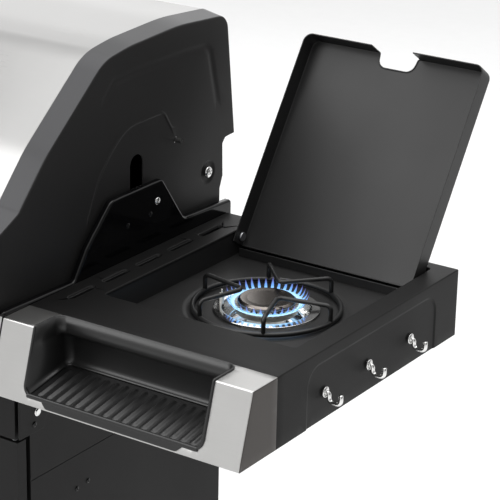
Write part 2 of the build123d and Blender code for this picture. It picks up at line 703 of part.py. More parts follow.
def tray():
    """Black bin with a ribbed, sloping floor, flush with the fascia, and a pouring lip."""
    body = tray_space(2.0) - tray_space(0.0)
    body &= slab(side_outline(fascia_line()[1:3] + [(30, -SHELF_H, 0), (30, 0, 0)]), (across(0), across(SHELF_W)))
    first, last = TRAY_X[0] + 16, TRAY_X[1] - 16
    slope = side_outline([(-60, -72, 0), (2, -60.5, 0), (2, -58, 0), (-60, -68.2, 0)])
    for step in range(RIB_COUNT):
        x = across(first + (last - first) * step / (RIB_COUNT - 1))
        body += slab(slope, (x - 1.5, x + 1.5))
    return body


def tray_lip():
    """The part of the tray that hangs over the fascia under the mouth."""
    lip = Pos(0, 0, 0.5) * Box(168, 11, 2.0)
    lip = fillet(lip.edges().filter_by(Axis.Z), 3.0)
    return on_front(front_plane(across(159), 77.5), lip)


def side_lid():
    """Side-burner lid, drawn shut: a sheet with three turned-down edges and a finger notch."""
    x = [across(v) for v in LID_X]
    y = (LID_FRONT_Y, LID_BACK_Y)
    lid = plan_slab(x, (y[0], y[1] + 20), (up(LID_TOP - LID_FLANGE), up(LID_TOP)), 10.0)
    lid &= block(x, y, (up(-60), up(20)))
    inner = plan_slab((x[0] + SHEET, x[1] - SHEET), (y[0] + SHEET, y[1] + 40),
                      (up(-60), up(LID_TOP - SHEET)), 8.5)
    lid -= inner
    notch = (across(NOTCH_X[0]), across(NOTCH_X[1]))
    lid -= plan_slab(notch, (y[0] - 40, y[0] + NOTCH_DEPTH), (up(-60), up(20)), NOTCH_DEPTH - 1)
    lid -= round_x((x[0] - 5, x[1] + 5), LID_PIVOT[0], up(LID_PIVOT[1]), 3.0 + PIN_GAP)
    hinge = Axis((0, LID_PIVOT[0], up(LID_PIVOT[1])), (1, 0, 0))
    return lid.rotate(hinge, -LID_OPEN)


def tool_hooks():
    """Bent wire hooks with a collar each, on the right shelf's outer side."""
    x = across(SHELF_W)
    hooks = []
    for y in HOOK_Y:
        z = up(HOOK_Z)
        tip = x + HOOK_REACH - HOOK_WIRE
        path = [(x, y, z), (x + 5, y, z), (x + 5, y, z - 10), (tip, y, z - 10), (tip, y, z + 1)]
        hook = wire(path, HOOK_WIRE, [2.6, 4.5, 4.5])
        hooks.append(hook + round_x((x, x + 2.5), y, z, 6.0))
    return hooks


# ---------------------------------------------------------------- side burner
def burner_bowl():
    """Bright bowl that carries the burner head in the pan's hole."""
    x, y = across(BURNER_X), BURNER_Y
    bowl = round_z(x, y, (up(-52), up(BOWL_FLANGE_TOP)), 50)
    bowl += round_z(x, y, (up(-RECESS_DEPTH), up(BOWL_FLANGE_TOP)), 60)
    bowl -= round_z(x, y, (up(-50.5), up(0)), 48.5)
    venturi = round_z(x, y, (up(-78), up(-52)), 14) - round_z(x, y, (up(-79), up(-40)), 12)
    return bowl + venturi - round_z(x, y, (up(-60), up(-45)), 12)


def burner_head():
    """Toothed ring that the flames leave."""
    x, y = across(BURNER_X), BURNER_Y
    head = round_z(x, y, (up(-50.5), up(-30)), 22) + round_z(x, y, (up(-34), up(-22)), 36)
    for step in range(36):
        notch = Rot(0, 0, 10 * step) * Pos(34, 0, 0) * Box(10, 2.2, 6)
        head -= Pos(x, y, up(-24)) * notch
    return head - round_z(x, y, (up(-51), up(-26)), 12)


def burner_cap():
    x, y = across(BURNER_X), BURNER_Y
    cap = round_z(x, y, (up(-22), up(-17)), 33)
    return fillet(cap.edges().filter_by(GeomType.CIRCLE).sort_by(Axis.Z)[-1], 3.0)


def grate_angles():
    """The six posts of the pan support, in pairs that share one bent wire."""
    return [(start, start + 60.0) for start in (62.0, 181.0, 301.0)]


def burner_grate():
    """Pan support: a ring and three bent wires, each with two posts that stand on the ring."""
    cx, cy = across(BURNER_X), BURNER_Y
    low, high = up(-RECESS_DEPTH + RING_WIRE), up(-8.0)
    parts = [Pos(cx, cy, low) * Torus(RING_R, RING_WIRE)]
    foot = low + RING_WIRE
    for pair in grate_angles():
        ends = [(cx + RING_R * math.cos(math.radians(a)), cy + RING_R * math.sin(math.radians(a))) for a in pair]
        middle = math.radians(sum(pair) / 2)
        tip = (cx + 26 * math.cos(middle), cy + 26 * math.sin(middle), high)
        points = [(*ends[0], foot), (*ends[0], high), tip, (*ends[1], high), (*ends[1], foot)]
        parts.append(wire(points, RING_WIRE - 0.3, 6.0))
    return parts


# ---------------------------------------------------------------- grease tray and fasteners
def grease_tray():
    """Shallow drawer under the bowl that slides out to the back."""
    z = (up(-195.5), up(-176))
    tray_body = block((-105, 105), (60, 392), z)
    tray_body -= block((-103.5, 103.5), (61.5, 378), (z[0] + SHEET, z[1] + 1))
    tray_body += block((-117, 117), (60, 378), (z[0], z[0] + SHEET))
    tray_body -= block((-40, 40), (380, 388), (z[0] - 1, z[1] - 4))
    return tray_body


def side_screws():
    """The right side's hood bolt and the screws of its end panel, bracket and side panel."""
    y, z = HOOD_PIVOT
    parts = [bolt_x((BOWL_HALF, CAP_FACE + GAP), y, up(z), 4.0, 8.0, 4.0, 1)]
    parts.append(round_x((HALF, HALF + 2.0), 232.3, up(53.7), 4.5))
    parts.append(round_x((HALF, HALF + 1.2), LEG_FOOT[0], up(LEG_FOOT[1]), 3.5))
    bracket = CART_HALF + 2.0
    for sy, sz in ((14.7, -132.2), (9.2, -145.9), (38.7, -130.0)):
        parts.append(round_x((bracket, bracket + 2.0), sy, up(sz), 4.0))
    for sy, sz in ((85.5, -256.8), (105.9, -254.8)):
        parts.append(round_x((CART_HALF, CART_HALF + 1.5), sy, up(sz), 3.5))
    return parts


def lid_bolts():
    """The two short bolts that the side-burner lid turns on."""
    y, z = LID_PIVOT[0], up(LID_PIVOT[1])
    left = (across(RECESS_X[0]), across(LID_X[0] + SHEET + GAP))
    right = (across(LID_X[1] - SHEET - GAP), across(RECESS_X[1]))
    return [bolt_x(left, y, z, 3.0, 5.5, 3.0, 1), bolt_x(right, y, z, 3.0, 5.5, 3.0, -1)]


def fasteners():
    """Every hinge pin, bolt and screw that shows."""
    right = side_screws()
    return door_pins() + right + [mirrored(screw) for screw in right] + lid_bolts()


# ---------------------------------------------------------------- the whole grill
def all_pieces():
    """Every node by name, in the drawing frame."""
    pieces = {
        "cart_base": cart_base(),
        "side_panel_right": side_panel(),
        "side_panel_left": mirrored(side_panel()),
        "back_panel": back_panel(),
        "front_rail": front_rail(),
        "corner_brackets": solids(corner_bracket(), mirrored(corner_bracket())),
        "door_right": door(),
        "door_left": mirrored(door()),
        "door_handle_right": door_handle(),
        "door_handle_left": mirrored(door_handle()),
        "firebox": firebox(),
        "firebox_end_right": end_panel(),
        "firebox_end_left": mirrored(end_panel()),
        "burner_tubes": solids(*burner_tubes()),
        "heat_tents": solids(*heat_tents()),
        "cooking_grate_right": cooking_grate(1),
        "cooking_grate_left": cooking_grate(-1),
        "electrodes": solids(*electrodes()),
        "manifold": solids(*manifold()),
        "control_panel": control_panel(),
        "knob_bezels": solids(*knob_bezels()),
        "ignition_button": ignition_button(),
        "hood_skin": hood_skin(),
        "hood_cap_right": hood_cap(),
        "hood_cap_left": mirrored(hood_cap()),
        "hood_handle": solids(*hood_handle()),
        "temperature_gauge": temperature_gauge(),
        "warming_rack": warming_rack(),
        "rack_legs": solids(*rack_legs()),
        "shelf_right": shelf_right(),
        "shelf_left": shelf_left(),
        "fascia_right": fascia() - tray_space(2.0) - tray_lip(),
        "fascia_left": mirrored(fascia()),
        "tray": tray() + tray_lip(),
        "burner_pan": burner_pan(),
        "side_lid": side_lid(),
        "tool_hooks": solids(*tool_hooks()),
        "burner_bowl": burner_bowl(),
        "burner_head": burner_head(),
        "burner_cap": burner_cap(),
        "burner_grate": solids(*burner_grate()),
        "grease_tray": grease_tray(),
        "fasteners": solids(*fasteners()),
    }
    for number, x in enumerate(KNOB_X, start=1):
        pieces[f"knob_{number}"] = knob(x)
        pieces[f"valve_stem_{number}"] = valve_stem(x)
    for number, (cx, cy) in enumerate(caster_places(), start=1):
        pieces[f"caster_fork_{number}"] = caster_fork(cx, cy)
        pieces[f"caster_wheel_{number}"] = caster_wheel(cx, cy)
    return pieces


def write_steps(pieces):
    """Move the grill onto its origin, the middle of its footprint, and write each node."""
    boxes = [piece.bounding_box() for piece in pieces.values()]
    middle_x = (min(b.min.X for b in boxes) + max(b.max.X for b in boxes)) / 2
    middle_y = (min(b.min.Y for b in boxes) + max(b.max.Y for b in boxes)) / 2
    floor = min(b.min.Z for b in boxes)
    print(f"drawing frame to row frame: {-middle_x:.4f} {-middle_y:.4f} {-floor:.4f}")
    os.makedirs("parts", exist_ok=True)
    for name, piece in pieces.items():
        export_step(Pos(-middle_x, -middle_y, -floor) * piece, f"parts/{name}.step")


write_steps(all_pieces())
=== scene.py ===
"""Finished look of a cabinet-cart gas barbecue with a side burner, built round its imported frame.

Lengths in the classes are millimetres unless a name says otherwise. Two datums are used: the
right side shelf's inner front top corner, for the shelf, the hood and everything on them, and
the middle plane of the grill, for pieces that come in left and right pairs.
"""

import json
import logging
import math
from collections.abc import Callable, Sequence
from dataclasses import dataclass, field
from enum import Enum

import bmesh
import bpy
import numpy as np
from mathutils import Matrix, Vector
from mathutils.geometry import delaunay_2d_cdt


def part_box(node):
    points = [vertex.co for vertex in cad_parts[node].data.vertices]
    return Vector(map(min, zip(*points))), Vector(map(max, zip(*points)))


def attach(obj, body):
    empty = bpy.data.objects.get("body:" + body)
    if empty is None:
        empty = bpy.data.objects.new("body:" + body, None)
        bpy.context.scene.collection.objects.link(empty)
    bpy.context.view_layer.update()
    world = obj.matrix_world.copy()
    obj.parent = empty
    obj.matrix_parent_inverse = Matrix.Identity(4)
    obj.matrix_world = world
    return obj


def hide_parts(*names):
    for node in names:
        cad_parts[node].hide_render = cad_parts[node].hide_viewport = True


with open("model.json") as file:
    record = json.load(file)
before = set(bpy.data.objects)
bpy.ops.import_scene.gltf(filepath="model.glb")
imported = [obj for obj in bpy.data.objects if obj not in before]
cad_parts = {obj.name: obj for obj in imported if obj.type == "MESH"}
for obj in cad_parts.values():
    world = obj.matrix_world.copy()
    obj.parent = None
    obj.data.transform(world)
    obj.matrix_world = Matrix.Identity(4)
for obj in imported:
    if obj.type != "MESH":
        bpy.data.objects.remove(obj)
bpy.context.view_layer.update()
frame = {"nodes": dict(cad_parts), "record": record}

MM = 0.001
LOG = logging.getLogger("grill")
TINY = 1e-6


# ---------------------------------------------------------------- datums
@dataclass(frozen=True)
class Datum:
    """Turns maker's millimetres into metres in the frame.

    Attributes:
        origin: the right shelf's inner front top corner, in metres.
        middle: the grill's middle plane, in metres along X.
    """

    origin: Vector
    middle: float

    @classmethod
    def from_frame(cls) -> "Datum":
        """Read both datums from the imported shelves."""
        low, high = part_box("shelf_right")
        left_low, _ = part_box("shelf_left")
        return cls(Vector((low.x, low.y, high.z)), (left_low.x + high.x) / 2)

    def shelf(self, x: float, y: float, z: float) -> Vector:
        """A point measured from the right shelf's corner."""
        return self.origin + Vector((x, y, z)) * MM

    def mid(self, x: float, y: float, z: float) -> Vector:
        """A point measured from the middle plane and the shelf's front top line."""
        return Vector((self.middle + x * MM, self.origin.y + y * MM, self.origin.z + z * MM))


DATUM = Datum.from_frame()


# ---------------------------------------------------------------- finishes
class Grain(Enum):
    """What the surface of a finish looks like close up."""

    BRUSHED = "brushed"
    ORANGE_PEEL = "orange peel"
    FINE_TEXTURE = "fine texture"
    CAST = "cast"
    SMOOTH = "smooth"


@dataclass(frozen=True)
class Finish:
    """A painted, plated, moulded or bare surface, as one node material.

    Attributes:
        name: the material's name.
        colour: base colour, linear.
        roughness: middle roughness.
        metallic: 1 for bare metal.
        grain: the close-up surface.
        grain_size: millimetres between grains.
        stretch: how much longer a grain is along X, Y and Z.
        bump: strength of the grain's bump.
        patch: how far the colour drifts over the piece, as a share.
        coat: strength of a clear gloss over the colour.
        specular: specular level of a non-metal.
        wear: how much lighter the sheet's edges are.
    """

    name: str
    colour: tuple[float, float, float]
    roughness: float
    metallic: float = 0.0
    grain: Grain = Grain.SMOOTH
    grain_size: float = 1.0
    stretch: tuple[float, float, float] = (1.0, 1.0, 1.0)
    bump: float = 0.1
    patch: float = 0.12
    coat: float = 0.0
    specular: float = 0.5
    wear: float = 0.0

    def material(self) -> bpy.types.Material:
        """Build the material, or return it if it is already built."""
        made = bpy.data.materials.get(self.name)
        if made:
            return made
        made = bpy.data.materials.new(self.name)
        made.use_nodes = True
        nodes, links = made.node_tree.nodes, made.node_tree.links
        shader = nodes["Principled BSDF"]
        shader.inputs["Metallic"].default_value = self.metallic
        shader.inputs["Coat Weight"].default_value = self.coat
        shader.inputs["Coat Roughness"].default_value = 0.06
        shader.inputs["Specular IOR Level"].default_value = self.specular
        place = nodes.new("ShaderNodeTexCoord").outputs["Object"]
        fine = self._noise(nodes, links, place, self.grain_size, self.stretch, 4.0)
        broad = self._noise(nodes, links, place, 160.0, (1.0, 1.0, 1.0), 3.0)
        self._colour(nodes, links, shader, fine, broad)
        self._roughness(nodes, links, shader, fine, broad)
        self._bump(nodes, links, shader, fine)
        return made

    def _noise(self, nodes: bpy.types.Nodes, links: bpy.types.NodeLinks, place: bpy.types.NodeSocket,
               size: float, stretch: tuple[float, float, float], detail: float) -> bpy.types.NodeSocket:
        """Add a noise whose grains are size millimetres wide.

        Args:
            nodes: the material's nodes.
            links: the material's links.
            place: the coordinate to read.
            size: grain width in millimetres.
            stretch: how much longer a grain is along each axis.
            detail: octaves of the noise.

        Returns:
            The noise's value socket.
        """
        mapping = nodes.new("ShaderNodeMapping")
        noise = nodes.new("ShaderNodeTexNoise")
        per_metre = 1.0 / (size * MM)
        mapping.inputs["Scale"].default_value = [per_metre / share for share in stretch]
        noise.inputs["Scale"].default_value = 1.0
        noise.inputs["Detail"].default_value = detail
        noise.inputs["Roughness"].default_value = 0.6
        links.new(place, mapping.inputs["Vector"])
        links.new(mapping.outputs["Vector"], noise.inputs["Vector"])
        return noise.outputs["Fac"]

    def _colour(self, nodes: bpy.types.Nodes, links: bpy.types.NodeLinks, shader: bpy.types.Node,
                fine: bpy.types.NodeSocket, broad: bpy.types.NodeSocket) -> None:
        """Drift the colour over the piece and with the grain, and lighten worn edges."""
        ramp = nodes.new("ShaderNodeValToRGB")
        low, high = 1.0 - self.patch, 1.0 + self.patch
        ramp.color_ramp.elements[0].position = 0.3
        ramp.color_ramp.elements[1].position = 0.7
        ramp.color_ramp.elements[0].color = (*[c * low for c in self.colour], 1.0)
        ramp.color_ramp.elements[1].color = (*[min(1.0, c * high) for c in self.colour], 1.0)
        blend = nodes.new("ShaderNodeMix")
        blend.data_type = "FLOAT"
        blend.inputs["Factor"].default_value = 0.5
        links.new(broad, blend.inputs["A"])
        links.new(fine, blend.inputs["B"])
        links.new(blend.outputs["Result"], ramp.inputs["Fac"])
        if self.wear <= 0:
            links.new(ramp.outputs["Color"], shader.inputs["Base Color"])
            return
        edges = self._edges(nodes, links, fine)
        worn = nodes.new("ShaderNodeMix")
        worn.data_type = "RGBA"
        worn.inputs["B"].default_value = (*[min(1.0, c + self.wear) for c in self.colour], 1.0)
        links.new(edges, worn.inputs["Factor"])
        links.new(ramp.outputs["Color"], worn.inputs["A"])
        links.new(worn.outputs["Result"], shader.inputs["Base Color"])

    def _edges(self, nodes: bpy.types.Nodes, links: bpy.types.NodeLinks,
               fine: bpy.types.NodeSocket) -> bpy.types.NodeSocket:
        """A mask that is 1 on rubbed edges, broken up by the grain.

        Returns:
            The mask's socket.
        """
        rounded = nodes.new("ShaderNodeBevel")
        rounded.samples = 4
        rounded.inputs["Radius"].default_value = 1.2 * MM
        true = nodes.new("ShaderNodeNewGeometry")
        dot = nodes.new("ShaderNodeVectorMath")
        dot.operation = "DOT_PRODUCT"
        spread = nodes.new("ShaderNodeMapRange")
        spread.inputs["From Min"].default_value = 0.995
        spread.inputs["From Max"].default_value = 0.90
        broken = nodes.new("ShaderNodeMath")
        broken.operation = "MULTIPLY"
        links.new(rounded.outputs["Normal"], dot.inputs[0])
        links.new(true.outputs["Normal"], dot.inputs[1])
        links.new(dot.outputs["Value"], spread.inputs["Value"])
        links.new(spread.outputs["Result"], broken.inputs[0])
        links.new(fine, broken.inputs[1])
        return broken.outputs["Value"]

    def _roughness(self, nodes: bpy.types.Nodes, links: bpy.types.NodeLinks, shader: bpy.types.Node,
                   fine: bpy.types.NodeSocket, broad: bpy.types.NodeSocket) -> None:
        """Vary the gloss with the grain and, more slowly, over the piece."""
        mix = nodes.new("ShaderNodeMath")
        mix.operation = "ADD"
        span = nodes.new("ShaderNodeMapRange")
        span.inputs["From Min"].default_value = 0.6
        span.inputs["From Max"].default_value = 1.4
        span.inputs["To Min"].default_value = max(0.02, self.roughness * 0.82)
        span.inputs["To Max"].default_value = min(1.0, self.roughness * 1.18)
        links.new(fine, mix.inputs[0])
        links.new(broad, mix.inputs[1])
        links.new(mix.outputs["Value"], span.inputs["Value"])
        links.new(span.outputs["Result"], shader.inputs["Roughness"])

    def _bump(self, nodes: bpy.types.Nodes, links: bpy.types.NodeLinks, shader: bpy.types.Node,
              fine: bpy.types.NodeSocket) -> None:
        """Raise the grain: scratches, orange peel, powder texture or cast skin."""
        if self.grain is Grain.SMOOTH and self.bump <= 0:
            return
        height = nodes.new("ShaderNodeBump")
        height.inputs["Strength"].default_value = self.bump
        height.inputs["Distance"].default_value = {
            Grain.BRUSHED: 0.03, Grain.ORANGE_PEEL: 0.10, Grain.FINE_TEXTURE: 0.12,
            Grain.CAST: 0.35, Grain.SMOOTH: 0.02,
        }[self.grain] * MM
        links.new(fine, height.inputs["Height"])
        links.new(height.outputs["Normal"], shader.inputs["Normal"])


class Slot(Enum):
    """The record's material slots."""

    STAINLESS = "stainless"
    DARK_CAP = "dark_cap"
    ENAMEL = "enamel_black"
    POWDER = "powder_black"
    SATIN = "satin_black"
    CAST_IRON = "cast_iron"
    BRIGHT = "bright_steel"
    BURNER = "burner_steel"
    KNOB = "knob_plastic"
    BEZEL = "bezel_chrome"
    BRASS = "brass"
    ZINC = "zinc"
    CERAMIC = "ceramic"
    RUBBER = "wheel_rubber"


FINISHES: dict[Slot, Finish] = {
    Slot.STAINLESS: Finish("brushed_stainless", (0.385, 0.382, 0.378), 0.32, 1.0, Grain.BRUSHED, 0.35,
                           (90.0, 1.0, 1.0), 0.22, 0.03),
    Slot.DARK_CAP: Finish("charcoal_cap_paint", (0.022, 0.0215, 0.0215), 0.45, 0.0, Grain.ORANGE_PEEL, 0.7,
                          bump=0.12, specular=0.16, wear=0.02),
    Slot.ENAMEL: Finish("black_vitreous_enamel", (0.0025, 0.0025, 0.0028), 0.12, 0.0, Grain.ORANGE_PEEL, 3.0,
                        bump=0.06, coat=0.15, specular=0.22),
    Slot.POWDER: Finish("black_powder_coat", (0.0070, 0.0068, 0.0068), 0.48, 0.0, Grain.FINE_TEXTURE, 0.9,
                        bump=0.30, specular=0.16, wear=0.03),
    Slot.SATIN: Finish("satin_moulded_black", (0.009, 0.009, 0.009), 0.34, 0.0, Grain.ORANGE_PEEL, 1.2,
                       bump=0.10, specular=0.5),
    Slot.CAST_IRON: Finish("matt_enamel_on_iron", (0.010, 0.010, 0.010), 0.38, 0.0, Grain.CAST, 1.6,
                           bump=0.20, specular=0.5, wear=0.02),
    Slot.BRIGHT: Finish("bright_plated_steel", (0.80, 0.80, 0.79), 0.12, 1.0, Grain.SMOOTH, 2.0,
                        bump=0.05, patch=0.05),
    Slot.BURNER: Finish("heat_tinted_steel", (0.42, 0.38, 0.34), 0.34, 1.0, Grain.BRUSHED, 0.6,
                        (1.0, 1.0, 1.0), 0.20, 0.25),
    Slot.KNOB: Finish("moulded_knob_black", (0.012, 0.012, 0.012), 0.36, 0.0, Grain.ORANGE_PEEL, 1.0, bump=0.08),
    Slot.BEZEL: Finish("chromed_bezel", (0.78, 0.78, 0.78), 0.10, 1.0, Grain.SMOOTH, 3.0, bump=0.03, patch=0.04),
    Slot.BRASS: Finish("turned_brass", (0.62, 0.42, 0.16), 0.28, 1.0, Grain.BRUSHED, 0.5, bump=0.15),
    Slot.ZINC: Finish("zinc_plate", (0.55, 0.56, 0.58), 0.30, 1.0, Grain.ORANGE_PEEL, 2.5, bump=0.10, patch=0.15),
    Slot.CERAMIC: Finish("white_ceramic", (0.74, 0.72, 0.67), 0.28, 0.0, Grain.ORANGE_PEEL, 1.0, bump=0.05),
    Slot.RUBBER: Finish("wheel_rubber", (0.018, 0.018, 0.018), 0.62, 0.0, Grain.CAST, 1.0, bump=0.15),
}
UNDERSIDE = Finish("matt_black_underside", (0.004, 0.004, 0.004), 0.9, 0.0, Grain.FINE_TEXTURE, 1.4,
                   bump=0.2, specular=0.05)
FASCIA_STEEL = Finish("brushed_stainless_front", (0.50, 0.497, 0.488), 0.36, 1.0, Grain.BRUSHED, 0.35,
                           (90.0, 1.0, 1.0), 0.30, 0.05)
LID_COAT = Finish("lid_powder_coat", (0.014, 0.0138, 0.0138), 0.42, 0.0, Grain.FINE_TEXTURE, 0.9,
                  bump=0.22, specular=0.36)
# Fascia end faces: the same brushed steel as the fascia, darkened to paint in the shade and dark reflection the ends
# show; painted shade, not a separate end plate.
FASCIA_END_PAINTED_SHADE = Finish("end_steel_painted_shade", (0.070, 0.064, 0.060), 0.42, 0.85, Grain.BRUSHED, 0.35,
                    (1.0, 1.0, 60.0), 0.2, 0.05)
# Cap rim band: the cap's charcoal paint made lighter and more metallic to paint in the light the up-facing rim catches,
# a painted highlight; its wear term lightens rubbed edges.
RIM_PAINTED_HIGHLIGHT = Finish("charcoal_rim_painted_highlight", (0.046, 0.046, 0.048), 0.36, 0.55, Grain.ORANGE_PEEL, 0.7,
                   bump=0.10, wear=0.05)


# ---------------------------------------------------------------- flat outlines
Row = tuple[float, float, float]


def rounded(corners: Sequence[Vector], radii: Sequence[float], closed: bool, step: float = 7.0) -> list[Vector]:
    """Points along a line whose corners are arcs.

    Args:
        corners: the line's corners, all 2-D or all 3-D.
        radii: a radius for each corner.
        closed: whether the last corner joins the first.
        step: degrees between points of an arc.

    Returns:
        The points, in order.
    """
    points: list[Vector] = []
    count = len(corners)
    for index, corner in enumerate(corners):
        radius = radii[index]
        at_end = not closed and index in (0, count - 1)
        if at_end or radius <= 0:
            points.append(corner.copy())
            continue
        before = corners[index - 1] - corner
        after = corners[(index + 1) % count] - corner
        turn = math.pi - before.angle(after)
        if turn < 0.01:
            points.append(corner.copy())
            continue
        share = math.tan(turn / 2)
        reach = min(radius * share, 0.49 * before.length, 0.49 * after.length)
        before, after = before.normalized(), after.normalized()
        centre = corner + (before + after).normalized() * (reach / share / math.cos(turn / 2))
        start = corner + before * reach - centre
        end = corner + after * reach - centre
        steps = max(2, math.ceil(math.degrees(turn) / step))
        for number in range(steps + 1):
            share = number / steps
            arc = start * math.sin((1 - share) * turn) + end * math.sin(share * turn)
            points.append(centre + arc / math.sin(turn))
    return points


def outline(rows: Sequence[Row], closed: bool = True, step: float = 7.0) -> list[Vector]:
    """Rounded 2-D outline from rows of two coordinates and a corner radius, in millimetres."""
    return rounded([Vector(row[:2]) for row in rows], [row[2] for row in rows], closed, step)


def rectangle(u: tuple[float, float], v: tuple[float, float], radius: float, step: float = 7.0) -> list[Vector]:
    """Rounded rectangle between two pairs of coordinates."""
    rows = [(u[0], v[0], radius), (u[1], v[0], radius), (u[1], v[1], radius), (u[0], v[1], radius)]
    return outline(rows, True, step)


def circle(u: float, v: float, radius: float, count: int = 40) -> list[Vector]:
    """A full circle of points."""
    turns = [2 * math.pi * number / count for number in range(count)]
    return [Vector((u + radius * math.cos(turn), v + radius * math.sin(turn))) for turn in turns]


def divided(points: Sequence[Vector], longest: float, closed: bool) -> list[Vector]:
    """The same line with no stretch longer than given.

    Args:
        points: the line.
        longest: greatest distance between two neighbours.
        closed: whether the last point joins the first.

    Returns:
        The line with points added on its long stretches.
    """
    result: list[Vector] = []
    last = len(points) if closed else len(points) - 1
    for index in range(last):
        start, end = points[index], points[(index + 1) % len(points)]
        pieces = max(1, math.ceil((end - start).length / longest))
        result += [start.lerp(end, number / pieces) for number in range(pieces)]
    return result if closed else result + [points[-1].copy()]


def offset(points: Sequence[Vector], distance: float, closed: bool) -> list[Vector]:
    """The line moved to its left by a distance, point by point, with mitred corners."""
    moved: list[Vector] = []
    count = len(points)
    for index, point in enumerate(points):
        before = points[index - 1] if closed or index else None
        after = points[(index + 1) % count] if closed or index < count - 1 else None
        runs = [(point - before).normalized()] if before is not None else []
        runs += [(after - point).normalized()] if after is not None else []
        sides = [Vector((-run.y, run.x)) for run in runs if run.length > 0.5]
        normal = sum(sides, Vector((0.0, 0.0))).normalized()
        mitre = max(0.5, normal.dot(sides[0]))
        moved.append(point + normal * (distance / mitre))
    return moved


def area(points: Sequence[Vector]) -> float:
    """Signed area of a closed outline, positive if it turns anticlockwise."""
    pairs = zip(points, [*points[1:], points[0]])
    return sum(a.x * b.y - a.y * b.x for a, b in pairs) / 2


def inside(points: np.ndarray, loop: Sequence[Vector]) -> np.ndarray:
    """Which of the points lie in a closed outline."""
    x, y = points[:, 0], points[:, 1]
    result = np.zeros(len(points), bool)
    for a, b in zip(loop, [*loop[1:], loop[0]]):
        crosses = (a.y > y) != (b.y > y)
        rise = (b.y - a.y) or TINY
        result ^= crosses & (x < (b.x - a.x) * (y - a.y) / rise + a.x)
    return result


def distance_to(points: np.ndarray, line: Sequence[Vector], closed: bool) -> np.ndarray:
    """Shortest distance from each point to a line."""
    best = np.full(len(points), 1e9)
    last = len(line) if closed else len(line) - 1
    for index in range(last):
        a = np.array(line[index][:2])
        run = np.array(line[(index + 1) % len(line)][:2]) - a
        share = np.clip(((points - a) @ run) / max(TINY, run @ run), 0, 1)
        best = np.minimum(best, np.linalg.norm(points - a - share[:, None] * run, axis=1))
    return best


# ---------------------------------------------------------------- pressed sheets
class Form(Enum):
    """The shapes that a press tool puts into a sheet."""

    FIELD = "a raised or sunk field with sloping flanks"
    RIB = "a rib or groove along a line"
    EDGE = "the sheet's own rounded edge"


@dataclass(frozen=True)
class Press:
    """One shape pressed into a sheet.

    Attributes:
        form: which shape.
        line: the field's boundary, the rib's middle line, or the sheet's outline.
        width: width of the flank, half width of the rib, or radius of the edge.
        height: rise in millimetres, negative when sunk.
        closed: whether the line is closed.
    """

    form: Form
    line: list[Vector]
    width: float
    height: float = 0.0
    closed: bool = True

    def rings(self) -> list[tuple[list[Vector], bool]]:
        """Lines that the sheet's mesh must have so that the shape comes out smooth.

        Returns:
            Pairs of a line and whether it is closed.
        """
        if self.form is Form.EDGE:
            turns = [math.radians(angle) for angle in (22, 45, 67, 90)]
            return [(offset(self.line, self.width * (1 - math.cos(turn)), True), True) for turn in turns]
        if self.form is Form.FIELD:
            shares = (-0.5, -0.25, 0.0, 0.25, 0.5)
        else:
            shares = (-1.0, -0.6, -0.3, 0.0, 0.3, 0.6, 1.0)
        return [(offset(self.line, self.width * share, self.closed), self.closed) for share in shares]

    def lift(self, points: np.ndarray) -> np.ndarray:
        """Height of the shape at each point."""
        gap = distance_to(points, self.line, self.closed)
        if self.form is Form.EDGE:
            short = np.clip(self.width - gap, 0, self.width)
            return -(self.width - np.sqrt(np.maximum(0, self.width ** 2 - short ** 2)))
        if self.form is Form.RIB:
            return self.height * (0.5 + 0.5 * np.cos(np.pi * np.clip(gap / self.width, 0, 1)))
        signed = np.where(inside(points, self.line), gap, -gap)
        share = np.clip(0.5 + signed / self.width, 0, 1)
        return self.height * share * share * (3 - 2 * share)


